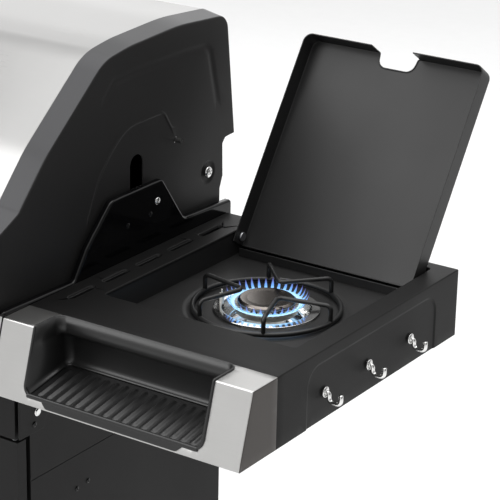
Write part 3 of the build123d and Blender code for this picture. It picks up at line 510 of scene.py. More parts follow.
@dataclass
class Sheet:
    """A pressed sheet: a flat outline with holes, pressed shapes and turned edges.

    Attributes:
        name: the piece's name.
        loop: outline, anticlockwise, in the sheet's own plane, in millimetres.
        place: where the sheet's plane is, as a matrix from sheet millimetres to metres.
        holes: closed outlines that are cut out.
        presses: the shapes pressed into it.
        thickness: sheet thickness.
        flange: depth of the turned edge below the face, 0 for none, negative for a wall above it.
        hole_flange: depth of the drawn collar of each hole.
        spacing: millimetres between mesh points on flat stretches.
        turned: says whether the outer edge is turned at a point.
    """

    name: str
    loop: list[Vector]
    place: Matrix
    holes: list[list[Vector]] = field(default_factory=list)
    presses: list[Press] = field(default_factory=list)
    thickness: float = 1.5
    flange: float = 0.0
    hole_flange: float = 0.0
    spacing: float = 12.0
    turned: Callable[[Vector], bool] = lambda point: True

    def surface(self) -> bmesh.types.BMesh:
        """The sheet's outer faces, in sheet millimetres, with its edges turned."""
        points, faces = self.mesh()
        lift = sum((press.lift(points) for press in self.presses), np.zeros(len(points)))
        mesh = bmesh.new()
        verts = [mesh.verts.new((u, v, w)) for (u, v), w in zip(points, lift)]
        for face in faces:
            mesh.faces.new([verts[index] for index in face])
        bmesh.ops.delete(mesh, geom=[v for v in mesh.verts if not v.link_faces], context="VERTS")
        self._turn_edges(mesh)
        face_out(mesh)
        return mesh

    def build(self) -> bpy.types.Object:
        """Make the sheet, in place."""
        return sheet_object(self.name, self.surface(), self.place, self.thickness)

    def mesh(self) -> tuple[np.ndarray, list[list[int]]]:
        """Triangulate the outline with its holes, its pressed lines and a grid.

        Returns:
            The points and the triangles inside the sheet.
        """
        lines: list[tuple[list[Vector], bool]] = [(self.loop, True)] + [(hole, True) for hole in self.holes]
        for press in self.presses:
            lines += press.rings()
        coords: list[Vector] = []
        edges: list[tuple[int, int]] = []
        for line, closed in lines:
            start = len(coords)
            coords += line
            last = len(line) if closed else len(line) - 1
            edges += [(start + i, start + (i + 1) % len(line)) for i in range(last)]
        coords += self._grid(lines)
        points, _, faces, *_ = delaunay_2d_cdt(coords, edges, [], 0, 1e-4)
        flat = np.array([point[:] for point in points])
        middles = np.array([flat[list(face)].mean(axis=0) for face in faces])
        keep = inside(middles, self.loop)
        for hole in self.holes:
            keep &= ~inside(middles, hole)
        return flat, [list(face) for face, kept in zip(faces, keep) if kept]

    def _grid(self, lines: list[tuple[list[Vector], bool]]) -> list[Vector]:
        """Grid points inside the sheet, clear of every line."""
        low = [min(point[axis] for point in self.loop) for axis in (0, 1)]
        high = [max(point[axis] for point in self.loop) for axis in (0, 1)]
        counts = [max(2, round((high[axis] - low[axis]) / self.spacing)) for axis in (0, 1)]
        steps = [np.linspace(low[axis], high[axis], counts[axis] + 1)[1:-1] for axis in (0, 1)]
        grid = np.array([(u, v) for u in steps[0] for v in steps[1]])
        keep = inside(grid, self.loop)
        for line, closed in lines:
            keep &= distance_to(grid, line, closed) > self.spacing * 0.35
        return [Vector(point) for point in grid[keep]]

    def _turn_edges(self, mesh: bmesh.types.BMesh) -> None:
        """Turn the outer edge down by the flange and each hole's edge by its collar."""
        border = [edge for edge in mesh.edges if len(edge.link_faces) == 1]
        middles = [(edge.verts[0].co + edge.verts[1].co) / 2 for edge in border]
        outer = distance_to(np.array([middle[:2] for middle in middles]), self.loop, True) < 0.05
        for depth, wanted in ((self.flange, True), (self.hole_flange, False)):
            chosen = [edge for edge, middle, is_outer in zip(border, middles, outer)
                      if is_outer == wanted and (not wanted or self.turned(middle))]
            if depth == 0 or not chosen:
                continue
            made = bmesh.ops.extrude_edge_only(mesh, edges=chosen)["geom"]
            for vert in [item for item in made if isinstance(item, bmesh.types.BMVert)]:
                vert.co.z = -depth


def folded(name: str, faces: Sequence[Sheet], thickness: float, bend: float,
           dark_inside: bool = False) -> bpy.types.Object:
    """One sheet folded from several flat faces that share edges.

    Args:
        name: the new object's name.
        faces: the flat faces, whose shared edges have the same points.
        thickness: sheet thickness in millimetres.
        bend: outer radius of the folds.
        dark_inside: whether the inner side takes the piece's second material.

    Returns:
        The new object.
    """
    mesh = bmesh.new()
    for face in faces:
        part = face.surface()
        part.transform(face.place)
        flat = bpy.data.meshes.new("flat")
        part.to_mesh(flat)
        part.free()
        mesh.from_mesh(flat)
        bpy.data.meshes.remove(flat)
    bmesh.ops.remove_doubles(mesh, verts=mesh.verts, dist=0.05 * MM)
    bmesh.ops.recalc_face_normals(mesh, faces=mesh.faces)
    mesh.faces.ensure_lookup_table()
    if mesh.faces[0].normal.dot(faces[0].place.col[2].xyz) < 0:
        bmesh.ops.reverse_faces(mesh, faces=mesh.faces)
    obj = object_from(name, mesh, Matrix.Identity(4))
    add_bevel(obj, bend, 4, 38.0)
    solid = obj.modifiers.new("sheet_thickness", "SOLIDIFY")
    solid.thickness = thickness * MM
    solid.offset = -1.0
    solid.material_offset = 1 if dark_inside else 0
    obj.modifiers.move(len(obj.modifiers) - 1, 1)
    return obj


def sheet_object(name: str, mesh: bmesh.types.BMesh, place: Matrix, thickness: float) -> bpy.types.Object:
    """Turn a face mesh into a sheet of some thickness, with smooth bends and crisp cut edges.

    Args:
        name: the new object's name.
        mesh: faces whose outer side is the sheet's outer side; it is freed here.
        place: matrix from the mesh's millimetres to metres.
        thickness: sheet thickness in millimetres.

    Returns:
        The new object.
    """
    obj = object_from(name, mesh, place)
    solid = obj.modifiers.new("sheet_thickness", "SOLIDIFY")
    solid.thickness = thickness * MM
    solid.offset = -1.0
    solid.use_even_offset = True
    add_bevel(obj, 0.3, 2, 50.0)
    return obj


def object_from(name: str, mesh: bmesh.types.BMesh, place: Matrix) -> bpy.types.Object:
    """Put a mesh into the scene.

    Args:
        name: the new object's name.
        mesh: the mesh, which is freed here.
        place: matrix from the mesh's millimetres to metres.

    Returns:
        The new object, smooth shaded.
    """
    mesh.transform(place)
    if place.to_3x3().determinant() < 0:
        bmesh.ops.reverse_faces(mesh, faces=mesh.faces)
    data = bpy.data.meshes.new(name)
    mesh.to_mesh(data)
    mesh.free()
    data.shade_smooth()
    obj = bpy.data.objects.new(name, data)
    bpy.context.scene.collection.objects.link(obj)
    return obj


def add_bevel(obj: bpy.types.Object, width: float, segments: int, angle: float) -> None:
    """Round an object's hard edges and even out its shading.

    Args:
        obj: the object.
        width: bevel width in millimetres.
        segments: steps round the bevel.
        angle: the least angle, in degrees, of an edge that is rounded.
    """
    bevel = obj.modifiers.new("edge_radius", "BEVEL")
    bevel.width = width * MM
    bevel.segments = segments
    bevel.limit_method = "ANGLE"
    bevel.angle_limit = math.radians(angle)
    bevel.use_clamp_overlap = True
    even = obj.modifiers.new("even_shading", "WEIGHTED_NORMAL")
    even.keep_sharp = True


def plane_matrix(origin: Vector, u_axis: Vector, v_axis: Vector) -> Matrix:
    """Matrix from millimetres on a plane to metres in the frame.

    Args:
        origin: where the plane's zero is, in metres.
        u_axis: direction of the first coordinate.
        v_axis: direction of the second coordinate.

    Returns:
        The matrix; its third axis is u x v.
    """
    u_axis, v_axis = u_axis.normalized(), v_axis.normalized()
    w_axis = u_axis.cross(v_axis)
    turn = Matrix((u_axis, v_axis, w_axis)).transposed().to_4x4()
    return Matrix.Translation(origin) @ turn @ Matrix.Scale(MM, 4)


# ---------------------------------------------------------------- tubes, turned and cut shapes
def surface_from(sections: Sequence[Sequence[Vector]], closed: bool) -> bmesh.types.BMesh:
    """A skin over sections that have the same number of points.

    Args:
        sections: the sections, in order.
        closed: whether each section is a closed loop.

    Returns:
        The faces, without end caps.
    """
    mesh = bmesh.new()
    rows = [[mesh.verts.new(point) for point in section] for section in sections]
    count = len(rows[0])
    last = count if closed else count - 1
    for low, high in zip(rows, rows[1:]):
        for index in range(last):
            after = (index + 1) % count
            mesh.faces.new((low[index], low[after], high[after], high[index]))
    return mesh


def tube(name: str, path: Sequence[Vector], radius: float, sides: int = 16, closed: bool = False) -> bpy.types.Object:
    """Round wire or pipe along a line.

    Args:
        name: the new object's name.
        path: points in metres.
        radius: millimetres.
        sides: points round the wire.
        closed: whether the wire is a ring.

    Returns:
        The new object, with domed ends.
    """
    count = len(path)
    runs = [(path[(i + 1) % count] - path[i]).normalized() for i in range(count if closed else count - 1)]
    runs = runs if closed else [*runs, runs[-1]]
    across = runs[0].orthogonal().normalized()
    sections: list[list[Vector]] = []
    for index, point in enumerate(path):
        before = runs[index - 1] if closed or index else runs[0]
        along = (before + runs[index]).normalized()
        across = (across - along * across.dot(along)).normalized()
        other = along.cross(across)
        stretch = 1.0 / max(0.6, along.dot(runs[index]))
        turns = [2 * math.pi * number / sides for number in range(sides)]
        bend = (runs[index] - before)
        bend = bend.normalized() if bend.length > 1e-5 else Vector((0.0, 0.0, 0.0))
        ring = []
        for turn in turns:
            spoke = across * math.cos(turn) + other * math.sin(turn)
            spoke += bend * (spoke.dot(bend) * (stretch - 1.0))
            ring.append(point + spoke * radius * MM)
        sections.append(ring)
    if closed:
        twist = min(range(sides), key=lambda shift: (sections[0][shift] - sections[-1][0]).length)
        sections.append(sections[0][twist:] + sections[0][:twist])
    else:
        dome = 0.35 * radius * MM
        head = [path[0] + (point - path[0]) * 0.7 - runs[0] * dome for point in sections[0]]
        tail = [path[-1] + (point - path[-1]) * 0.7 + runs[-1] * dome for point in sections[-1]]
        sections = [head, *sections, tail]
    mesh = surface_from(sections, True)
    if closed:
        bmesh.ops.remove_doubles(mesh, verts=mesh.verts, dist=1e-7)
    else:
        mesh.verts.ensure_lookup_table()
        mesh.faces.new(list(mesh.verts[:sides]))
        mesh.faces.new(list(mesh.verts[-sides:]))
    bmesh.ops.recalc_face_normals(mesh, faces=mesh.faces)
    return object_from(name, mesh, Matrix.Identity(4))


def lathe(name: str, profile: Sequence[Vector], place: Matrix, segments: int = 96,
          shape: Callable[[Vector], Vector] = lambda point: point) -> bpy.types.Object:
    """A shape turned about the third axis of a plane.

    Args:
        name: the new object's name.
        profile: radius and height points in millimetres; a closed section if its ends differ in radius from 0.
        place: matrix from turned millimetres to metres.
        segments: steps round the axis.
        shape: moves a turned point, in millimetres.

    Returns:
        The new object.
    """
    sections: list[list[Vector]] = []
    for number in range(segments + 1):
        turn = 2 * math.pi * (number % segments) / segments
        ring = [Vector((p.x * math.cos(turn), p.x * math.sin(turn), p.y)) for p in profile]
        sections.append([shape(point) for point in ring])
    on_axis = profile[0].x < TINY and profile[-1].x < TINY
    mesh = surface_from(sections, not on_axis)
    bmesh.ops.remove_doubles(mesh, verts=mesh.verts, dist=1e-4)
    bmesh.ops.dissolve_degenerate(mesh, edges=mesh.edges, dist=1e-5)
    bmesh.ops.recalc_face_normals(mesh, faces=mesh.faces)
    obj = object_from(name, mesh, place)
    return obj


def prism(name: str, loop: Sequence[Vector], place: Matrix, depth: tuple[float, float], edge: float = 0.4,
          segments: int = 3) -> bpy.types.Object:
    """A flat outline pushed along its plane's third axis.

    Args:
        name: the new object's name.
        loop: closed outline in millimetres.
        place: matrix from plane millimetres to metres.
        depth: where the shape starts and ends along the third axis.
        edge: radius of its edges.
        segments: steps round its edges.

    Returns:
        The new object.
    """
    mesh = bmesh.new()
    low = [mesh.verts.new((point.x, point.y, depth[0])) for point in loop]
    high = [mesh.verts.new((point.x, point.y, depth[1])) for point in loop]
    mesh.faces.new(low[::-1])
    mesh.faces.new(high)
    for index in range(len(loop)):
        after = (index + 1) % len(loop)
        mesh.faces.new((low[index], low[after], high[after], high[index]))
    bmesh.ops.recalc_face_normals(mesh, faces=mesh.faces)
    obj = object_from(name, mesh, place)
    if edge > 0:
        add_bevel(obj, edge, segments, 35.0)
    return obj


def joined(name: str, objects: Sequence[bpy.types.Object]) -> bpy.types.Object:
    """Several objects as one, with their modifiers applied.

    Args:
        name: the name of the result.
        objects: what is joined; they are removed.

    Returns:
        The new object.
    """
    graph = bpy.context.evaluated_depsgraph_get()
    mesh = bmesh.new()
    for obj in objects:
        final = bpy.data.meshes.new_from_object(obj.evaluated_get(graph))
        final.transform(obj.matrix_world)
        mesh.from_mesh(final)
        bpy.data.meshes.remove(final)
        bpy.data.objects.remove(obj)
    return object_from(name, mesh, Matrix.Identity(4))


def mirrored(obj: bpy.types.Object, name: str) -> bpy.types.Object:
    """The piece's twin on the other side of the grill's middle plane.

    Args:
        obj: the piece, its modifiers are repeated on the twin.
        name: the twin's name.

    Returns:
        The twin.
    """
    twin = obj.copy()
    twin.data = obj.data.copy()
    twin.name = name
    bpy.context.scene.collection.objects.link(twin)
    flip = Matrix.Translation((2 * DATUM.middle, 0, 0)) @ Matrix.Scale(-1, 4, Vector((1, 0, 0)))
    twin.data.transform(flip)
    twin.data.flip_normals()
    return twin


def top_plane(x: float, y: float, z: float) -> Matrix:
    """Plane facing up at a shelf point."""
    return plane_matrix(DATUM.shelf(x, y, z), Vector((1, 0, 0)), Vector((0, 1, 0)))


def side_plane(x: float) -> Matrix:
    """Plane facing right, whose coordinates are shelf Y and Z, at a distance from the middle."""
    return plane_matrix(DATUM.mid(x, 0, 0), Vector((0, 1, 0)), Vector((0, 0, 1)))


def front_plane(y: float) -> Matrix:
    """Plane facing the front, whose coordinates are mid X and shelf Z, at a shelf Y."""
    return plane_matrix(DATUM.mid(0, y, 0), Vector((1, 0, 0)), Vector((0, 0, 1)))


# ---------------------------------------------------------------- pieces and their bodies
@dataclass
class Assembly:
    """A sub-assembly that builds its pieces, dresses them and fixes them to their bodies."""

    def put(self, obj: bpy.types.Object, body: str, slot: Slot, *nodes: str,
            finish: Finish | None = None) -> bpy.types.Object:
        """Give a piece its finish, fix it to a body and let it stand for CAD nodes.

        Args:
            obj: the piece.
            body: the body that it moves with.
            slot: the record's material slot.
            nodes: the CAD nodes that it replaces.
            finish: a finish other than the slot's own.

        Returns:
            The piece.
        """
        obj.data.materials.clear()
        obj.data.materials.append((finish or FINISHES[slot]).material())
        if nodes:
            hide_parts(*nodes)
        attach(obj, body)
        LOG.info("%s rides %s, %s", obj.name, body, slot.value)
        return obj

    def build(self) -> None:
        """Build every piece of the sub-assembly."""
        raise NotImplementedError


def softened(node: str, radius: float, segments: int = 3, angle: float = 32.0) -> bpy.types.Object:
    """Round the hard edges of a CAD node with modifiers only.

    Args:
        node: the node's name.
        radius: edge radius in millimetres.
        segments: steps round an edge.
        angle: the least angle of an edge that is rounded.

    Returns:
        The node's object.
    """
    obj = frame["nodes"][node]
    weld = obj.modifiers.new("weld", "WELD")
    weld.merge_threshold = 2e-6
    flat = obj.modifiers.new("one_face_per_plane", "DECIMATE")
    flat.decimate_type = "DISSOLVE"
    flat.angle_limit = math.radians(0.6)
    add_bevel(obj, radius, segments, angle)
    return obj


# ---------------------------------------------------------------- hood
@dataclass
class Hood(Assembly):
    """Bent steel skin between two pressed end caps, with its handle and gauge."""

    cap_face: float = 338.0
    skin_end: float = 310.0
    rim_rise: float = 4.5
    shoulder: float = 2.4
    sheet: float = 1.4
    crown: tuple[Row, ...] = (
        (-58.0, 4.0, 0.0), (-58.0, 73.0, 14.0), (1.0, 101.5, 18.0), (48.7, 153.2, 150.0),
        (150.0, 236.5, 62.0), (196.0, 243.4, 200.0), (290.0, 248.3, 300.0), (387.5, 241.5, 20.0),
        (406.3, 92.0, 0.0),
    )
    ear: tuple[Row, ...] = (
        (386.0, 90.5, 3.0), (380.0, 84.0, 3.0), (381.4, 43.0, 3.0), (375.5, 28.0, 3.0), (375.5, 6.0, 3.0),
        (288.0, 6.0, 8.0), (262.0, 38.0, 8.0), (240.0, 64.0, 8.0), (220.4, 64.0, 1.0), (220.4, 113.9, 12.2),
        (195.7, 113.9, 12.2), (195.7, 64.0, 1.0), (150.0, 64.0, 12.0), (104.0, 24.0, 8.0), (90.0, -4.0, 5.0),
        (-38.0, -4.0, 2.0), (-38.0, 4.0, 2.0),
    )
    shoulder_groove: tuple[Row, ...] = (
        (150.0, 190.0, 0.0), (168.0, 209.0, 14.0), (233.0, 212.0, 120.0), (311.0, 212.0, 120.0),
        (350.0, 211.0, 16.0), (368.0, 140.0, 0.0),
    )
    ear_ridge: tuple[Row, ...] = (
        (118.0, 60.0, 0.0), (137.0, 101.0, 30.0), (160.0, 128.0, 50.0), (190.0, 151.0, 50.0),
        (259.0, 152.5, 14.0), (275.0, 129.0, 0.0),
    )
    hinge: tuple[float, float] = (350.5, 55.2)
    rack_pin: tuple[float, float] = (284.4, 112.5)
    handle_y: float = -106.0
    handle_z: float = 48.0

    def build(self) -> None:
        """Build the skin, both caps, the handle and the gauge."""
        self.put(self.skin(), "hood", Slot.STAINLESS, "hood_skin")
        right = self.cap()
        left = mirrored(right, "left_end_cap")
        self.put(right, "hood", Slot.DARK_CAP, "hood_cap_right")
        self.put(left, "hood", Slot.DARK_CAP, "hood_cap_left")
        # Each cap's rim faces take the lighter copy of the cap paint: a painted highlight.
        for cap in (right, left):
            cap.data.materials.append(RIM_PAINTED_HIGHLIGHT.material())
            self._paint_rim_highlight(cap)
        self.put(self.handle(), "hood", Slot.BRIGHT, "hood_handle")
        self.gauge()
        self.put(self.rack_pins(), "rack", Slot.BRIGHT)

    def top_line(self) -> list[Vector]:
        """The hood's side view from its front lip over the top to its rear hem."""
        return divided(outline(self.crown, False, 3.0), 14.0, False)

    def skin(self) -> bpy.types.Object:
        """The bent steel sheet, with its front and rear hems."""
        line = offset(self.top_line(), self.rim_rise - 0.4, False)
        columns = np.linspace(-self.skin_end + 0.7, self.skin_end - 0.7, 9)
        sections = [[DATUM.mid(x, point.x, point.y) / MM for point in line] for x in columns]
        mesh = surface_from(sections, False)
        bmesh.ops.recalc_face_normals(mesh, faces=mesh.faces)
        turn_outward(mesh, Vector((0, 0, 1)))
        return sheet_object("hood_steel_skin", mesh, Matrix.Scale(MM, 4), self.sheet)

    def cap(self) -> bpy.types.Object:
        """Right end cap: pressed cheek, rounded shoulder and flared rim, in one sheet."""
        top = self.top_line()
        inner = offset(top, -self.shoulder, False)
        rows = [(inner[-1].x, inner[-1].y, 0.0), *self.ear, (inner[0].x, inner[0].y, 0.0)]
        loop = divided((inner + outline(rows, False)[1:-1])[::-1], 14.0, True)
        hinge = circle(*self.hinge, 13.0)
        cheek = Sheet(
            "right_end_cap", loop, side_plane(self.cap_face), [circle(*self.rack_pin, 3.6, 20)],
            [
                Press(Form.RIB, outline(self.shoulder_groove, False), 8.0, -1.1, False),
                Press(Form.RIB, outline(self.ear_ridge, False), 3.0, 0.9, False),
                Press(Form.FIELD, hinge, 5.0, -2.2),
            ],
            thickness=1.6, spacing=13.0,
        )
        mesh = cheek.surface()
        self._add_rim(mesh, top)
        face_out(mesh)
        return sheet_object(cheek.name, mesh, cheek.place, cheek.thickness)

    def _add_rim(self, mesh: bmesh.types.BMesh, top: list[Vector]) -> None:
        """Join the shoulder and the flared rim to the cheek's upper edge."""
        sections = []
        for angle in (0, 18, 36, 54, 72, 90):
            turn = math.radians(angle)
            line = offset(top, -self.shoulder * (1 - math.sin(turn)), False)
            sections.append([(p.x, p.y, -self.shoulder * (1 - math.cos(turn))) for p in line])
        reach = self.cap_face - self.skin_end
        line = offset(top, self.rim_rise, False)
        sections.append([(p.x, p.y, -reach) for p in line])
        rows = [[mesh.verts.new(point) for point in section] for section in sections]
        for low, high in zip(rows, rows[1:]):
            for index in range(len(low) - 1):
                mesh.faces.new((low[index], low[index + 1], high[index + 1], high[index]))
        bmesh.ops.remove_doubles(mesh, verts=mesh.verts, dist=1e-3)

    def _paint_rim_highlight(self, cap: bpy.types.Object) -> None:
        """Give the rim's faces a lighter copy of the cap paint, a painted highlight where the rim faces the light."""
        limit = (self.shoulder * 0.5) * MM
        face = (self.cap_face) * MM
        for polygon in cap.data.polygons:
            depth = face - abs(polygon.center.x - DATUM.middle)
            if depth > limit and abs(polygon.normal.x) < 0.8:
                polygon.material_index = 1

    def handle(self) -> bpy.types.Object:
        """Bar with turned-in ends on two brackets."""
        y, z = self.handle_y, self.handle_z
        bar = tube("handle_bar", [DATUM.mid(x, y, z) for x in np.linspace(-281, 281, 12)], 12.4, 40)
        ends = []
        for side in (-1, 1):
            profile = outline([(0, 0, 0), (12.5, 0, 1.5), (12.5, 9, 1.0), (0, 9, 0)], False)
            place = plane_matrix(DATUM.mid(side * 276, y, z), Vector((0, side, 0)), Vector((0, 0, 1)))
            ends.append(lathe("handle_end", profile, place, 48))
        posts = []
        for side in (-1, 1):
            loop = rectangle((side * 245 - 11, side * 245 + 11), (z - 10, z + 10), 5.0)
            posts.append(prism("handle_post", loop, front_plane(0), (62.6, 96.0), 0.6))
            collar = rectangle((side * 245 - 15, side * 245 + 15), (z - 14, z + 14), 7.0)
            posts.append(prism("handle_foot", collar, front_plane(0), (62.6, 66.0), 0.8))
        return joined("hood_handle_bar", [bar, *ends, *posts])

    def rack_pins(self) -> bpy.types.Object:
        """The bright ends of the warming rack's rod, which show through both caps."""
        ends = []
        for side in (-1, 1):
            rows = [(0, -5, 0), (2.6, -5, 0), (2.6, 4.0, 0.9), (0, 4.0, 0)]
            foot = DATUM.mid(side * self.cap_face, *self.rack_pin)
            place = plane_matrix(foot, Vector((0, side, 0)), Vector((0, 0, 1)))
            ends.append(lathe("pin_end", outline(rows, False), place, 32))
        return joined("rack_rod_ends", ends)

    def gauge(self) -> None:
        """Dial with a bezel, generic marks and a needle."""
        low, high = self.crown[3], self.crown[4]
        slope = math.atan2(high[1] - low[1], high[0] - low[0])
        lift = self.rim_rise - 0.4
        y = low[0] + 0.3 * (high[0] - low[0]) - lift * math.sin(slope)
        z = low[1] + 0.3 * (high[1] - low[1]) + lift * math.cos(slope)
        up_slope = Vector((0, math.cos(slope), math.sin(slope)))
        place = plane_matrix(DATUM.mid(0, y, z), Vector((1, 0, 0)), up_slope)
        rows = [(0, 0, 0), (36, 0, 0), (36, 10, 3.0), (30.5, 10, 2.0), (29.5, 6.5, 0.3), (0, 6.5, 0)]
        self.put(lathe("gauge_bezel", outline(rows, False), place), "hood", Slot.BEZEL, "temperature_gauge")
        rows = [(0, 6.6, 0), (29.4, 6.6, 0), (29.4, 7.0, 0), (0, 7.0, 0)]
        white = Finish("dial_face", (0.62, 0.62, 0.60), 0.5, patch=0.03, bump=0.02)
        self.put(lathe("gauge_dial", outline(rows, False), place), "hood", Slot.BEZEL, finish=white)
        marks = []
        for number in range(25):
            turn = math.radians(225 - 270 * number / 24)
            long = number % 4 == 0
            radius = 22.0 if long else 24.5
            spin = Matrix.Rotation(turn, 4, "Z")
            loop = rectangle((radius, 27.0), (-0.35 - 0.25 * long, 0.35 + 0.25 * long), 0.1)
            marks.append(prism("mark", loop, place @ spin, (6.9, 7.15), 0))
        loop = outline([(-8, -1.2, 0.5), (24, -0.25, 0.2), (24, 0.25, 0.2), (-8, 1.2, 0.5)])
        marks.append(prism("needle", loop, place @ Matrix.Rotation(math.radians(205), 4, "Z"), (7.5, 8.2), 0))
        marks.append(lathe("hub", outline([(0, 7, 0), (3, 7, 0), (3, 9, 0.8), (0, 9, 0)], False), place, 32))
        self.put(joined("gauge_marks", marks), "hood", Slot.KNOB)


def turn_outward(mesh: bmesh.types.BMesh, way: Vector) -> None:
    """Flip all faces if the face that looks most along a direction looks against it."""
    total = sum((face.normal.dot(way) * face.calc_area() for face in mesh.faces), 0.0)
    if total < 0:
        bmesh.ops.reverse_faces(mesh, faces=mesh.faces)


def face_out(mesh: bmesh.types.BMesh) -> None:
    """Make all faces agree, and look along the sheet plane's third axis."""
    bmesh.ops.recalc_face_normals(mesh, faces=mesh.faces)
    turn_outward(mesh, Vector((0, 0, 1)))


# ---------------------------------------------------------------- firebox
@dataclass
class Firebox(Assembly):
    """Enamelled end panels of the bowl, with their rounded and turned edges."""

    face: float = 350.0
    edge: float = 3.2
    line: tuple[Row, ...] = (
        (-42.0, -88.0, 2.0), (-42.0, 4.4, 4.0), (80.0, 1.2, 8.0), (101.5, 33.5, 30.0),
        (146.5, 77.0, 14.0), (243.5, 77.6, 10.0), (287.0, 18.2, 12.0), (385.0, 14.0, 5.0),
        (385.0, -88.0, 2.0),
    )
    screw_hole: tuple[float, float] = (176.1, 39.4)

    def build(self) -> None:
        """Build both end panels."""
        loop = outline(self.line, True, 5.0)
        loop = divided(loop if area(loop) > 0 else loop[::-1], 16.0, True)
        right = Sheet("right_firebox_end", loop, side_plane(self.face), [circle(*self.screw_hole, 3.0, 20)],
                      [Press(Form.EDGE, loop, self.edge)], 1.3, 7.5, 1.5, 16.0).build()
        left = mirrored(right, "left_firebox_end")
        self.put(right, "cart", Slot.ENAMEL, "firebox_end_right")
        self.put(left, "cart", Slot.ENAMEL, "firebox_end_left")


# ---------------------------------------------------------------- side burner
@dataclass
class SideBurner(Assembly):
    """Bowl, toothed head, cap, pan support and the lit flame ring."""

    x: float = 169.3
    y: float = 208.0
    pan_floor: float = -30.4
    teeth: int = 36
    ring_radius: float = 83.0
    wire: float = 2.8
    support_top: float = -8.0
    support_tip: float = 26.0
    posts: tuple[tuple[float, float], ...] = ((62.0, 122.0), (181.0, 241.0), (301.0, 361.0))

    def place(self) -> Matrix:
        """Plane through the burner's axis, level with the shelf's top."""
        return top_plane(self.x, self.y, 0)

    def build(self) -> None:
        """Build every piece and the flames."""
        self.put(self.bowl(), "cart", Slot.BRIGHT, "burner_bowl")
        self.put(self.head(), "cart", Slot.BURNER, "burner_head")
        self.put(self.cap(), "cart", Slot.BURNER, "burner_cap", finish=CAP_STEEL)
        self.put(self.pan_support(), "cart", Slot.CAST_IRON, "burner_grate")
        self.flames()

    def bowl(self) -> bpy.types.Object:
        """Bright spun bowl with a rolled flange and a venturi below."""
        low = self.pan_floor
        rows = [(12, -78, 0), (14, -78, 0), (14, -53, 2), (46, -52, 10), (50, low + 0.5, 1.0), (60, low, 0.6),
                (60, low + 1.5, 0.6), (49.5, low + 2.0, 2.0), (45, -50.5, 9.0), (12, -50.5, 1.0)]
        return lathe("spun_burner_bowl", outline(rows, False), self.place())

    def head(self) -> bpy.types.Object:
        """Burner head: neck, dish and a ring of teeth between the flame ports."""
        rows = [(12, -50, 0), (22, -50, 1), (22, -36, 3), (35, -33.5, 2), (35.5, -26.5, 0.8), (12, -26.5, 0)]
        dish = lathe("dish", outline(rows, False), self.place())
        pitch = 2 * math.pi / self.teeth
        loop: list[Vector] = []
        for number in range(self.teeth):
            for share, radius in ((-0.32, 36.0), (0.0, 36.2), (0.32, 36.0), (0.40, 30.0), (0.60, 30.0)):
                turn = (number + share) * pitch
                loop.append(Vector((radius * math.cos(turn), radius * math.sin(turn))))
        ring = prism("teeth", loop, self.place(), (-26.6, -22.0), 0.3, 2)
        return joined("toothed_burner_head", [dish, ring])

    def cap(self) -> bpy.types.Object:
        """Pressed cap with a slightly dished top."""
        rows = [(0, -22, 0), (33, -22, 0.3), (33, -19.5, 2.4), (30.0, -17.0, 2.0), (22, -17.6, 12), (0, -17.9, 0)]
        return lathe("burner_cap_disc", outline(rows, False), self.place(), 128)

    def pan_support(self) -> bpy.types.Object:
        """Wire ring with three bent wires, each with two posts, on the ring."""
        low = self.pan_floor + self.wire
        middle = DATUM.shelf(self.x, self.y, 0)

        def spot(radius: float, angle: float, height: float) -> Vector:
            """A point round the burner's axis."""
            turn = math.radians(angle)
            return middle + Vector((radius * math.cos(turn), radius * math.sin(turn), height)) * MM

        ring = [spot(self.ring_radius, 360 * number / 96, low) for number in range(96)]
        wires = [tube("ring", ring, self.wire, 18, True)]
        for start, end in self.posts:
            foot, top = low + 1.0, self.support_top
            corners = [spot(self.ring_radius, start, foot), spot(self.ring_radius, start, top),
                       spot(self.support_tip, (start + end) / 2, top), spot(self.ring_radius, end, top),
                       spot(self.ring_radius, end, foot)]
            path = rounded(corners, [0, 6 * MM, 7 * MM, 6 * MM, 0], False, 8.0)
            wires.append(tube("wire", path, self.wire - 0.2, 16))
        return joined("pan_support_wires", wires)

    def flames(self) -> None:
        """The burning gas, which is not part of the grill: small jets from the head's ports."""
        jets = []
        for number in range(self.teeth):
            turn = 360.0 * (number + 0.5) / self.teeth
            sway = math.sin(number * 2.4) * 0.8 + math.sin(number * 5.1) * 0.5
            corners = [(34.5, -24.6), (40.5, -23.4), (45.0 + sway, -18.5), (47.0 + sway, -11.5 + sway)]
            radii = [1.2, 2.0, 1.7, 0.25]
            sections = []
            for (radius, height), thick in zip(corners, radii):
                spin = math.radians(turn)
                centre = Vector((radius * math.cos(spin), radius * math.sin(spin), height))
                out = Vector((math.cos(spin), math.sin(spin), 0))
                side = Vector((-math.sin(spin), math.cos(spin), 0))
                lean = (out * 0.35 + Vector((0, 0, 1))).normalized()
                sections.append([centre + side * (thick * math.cos(a)) + lean * (thick * 0.8 * math.sin(a))
                                 for a in np.linspace(0, 2 * math.pi, 9)[:-1]])
            mesh = surface_from(sections, True)
            jets.append(object_from("jet", mesh, self.place()))
        glow = lathe("glow", outline([(36, -25, 0), (39, -24.5, 1), (41, -21.5, 1), (40, -21.5, 0), (38, -23.5, 1),
                                      (36, -24, 0)], False), self.place())
        flame = joined("burning_gas", [*jets, glow])
        smooth = flame.modifiers.new("soft_jets", "SUBSURF")
        smooth.levels = smooth.render_levels = 1
        flame.data.materials.append(flame_material())


CAP_STEEL = Finish("heat_tinted_cap", (0.20, 0.18, 0.165), 0.24, 1.0, Grain.BRUSHED, 1.0, (1.0, 1.0, 1.0), 0.10, 0.35)


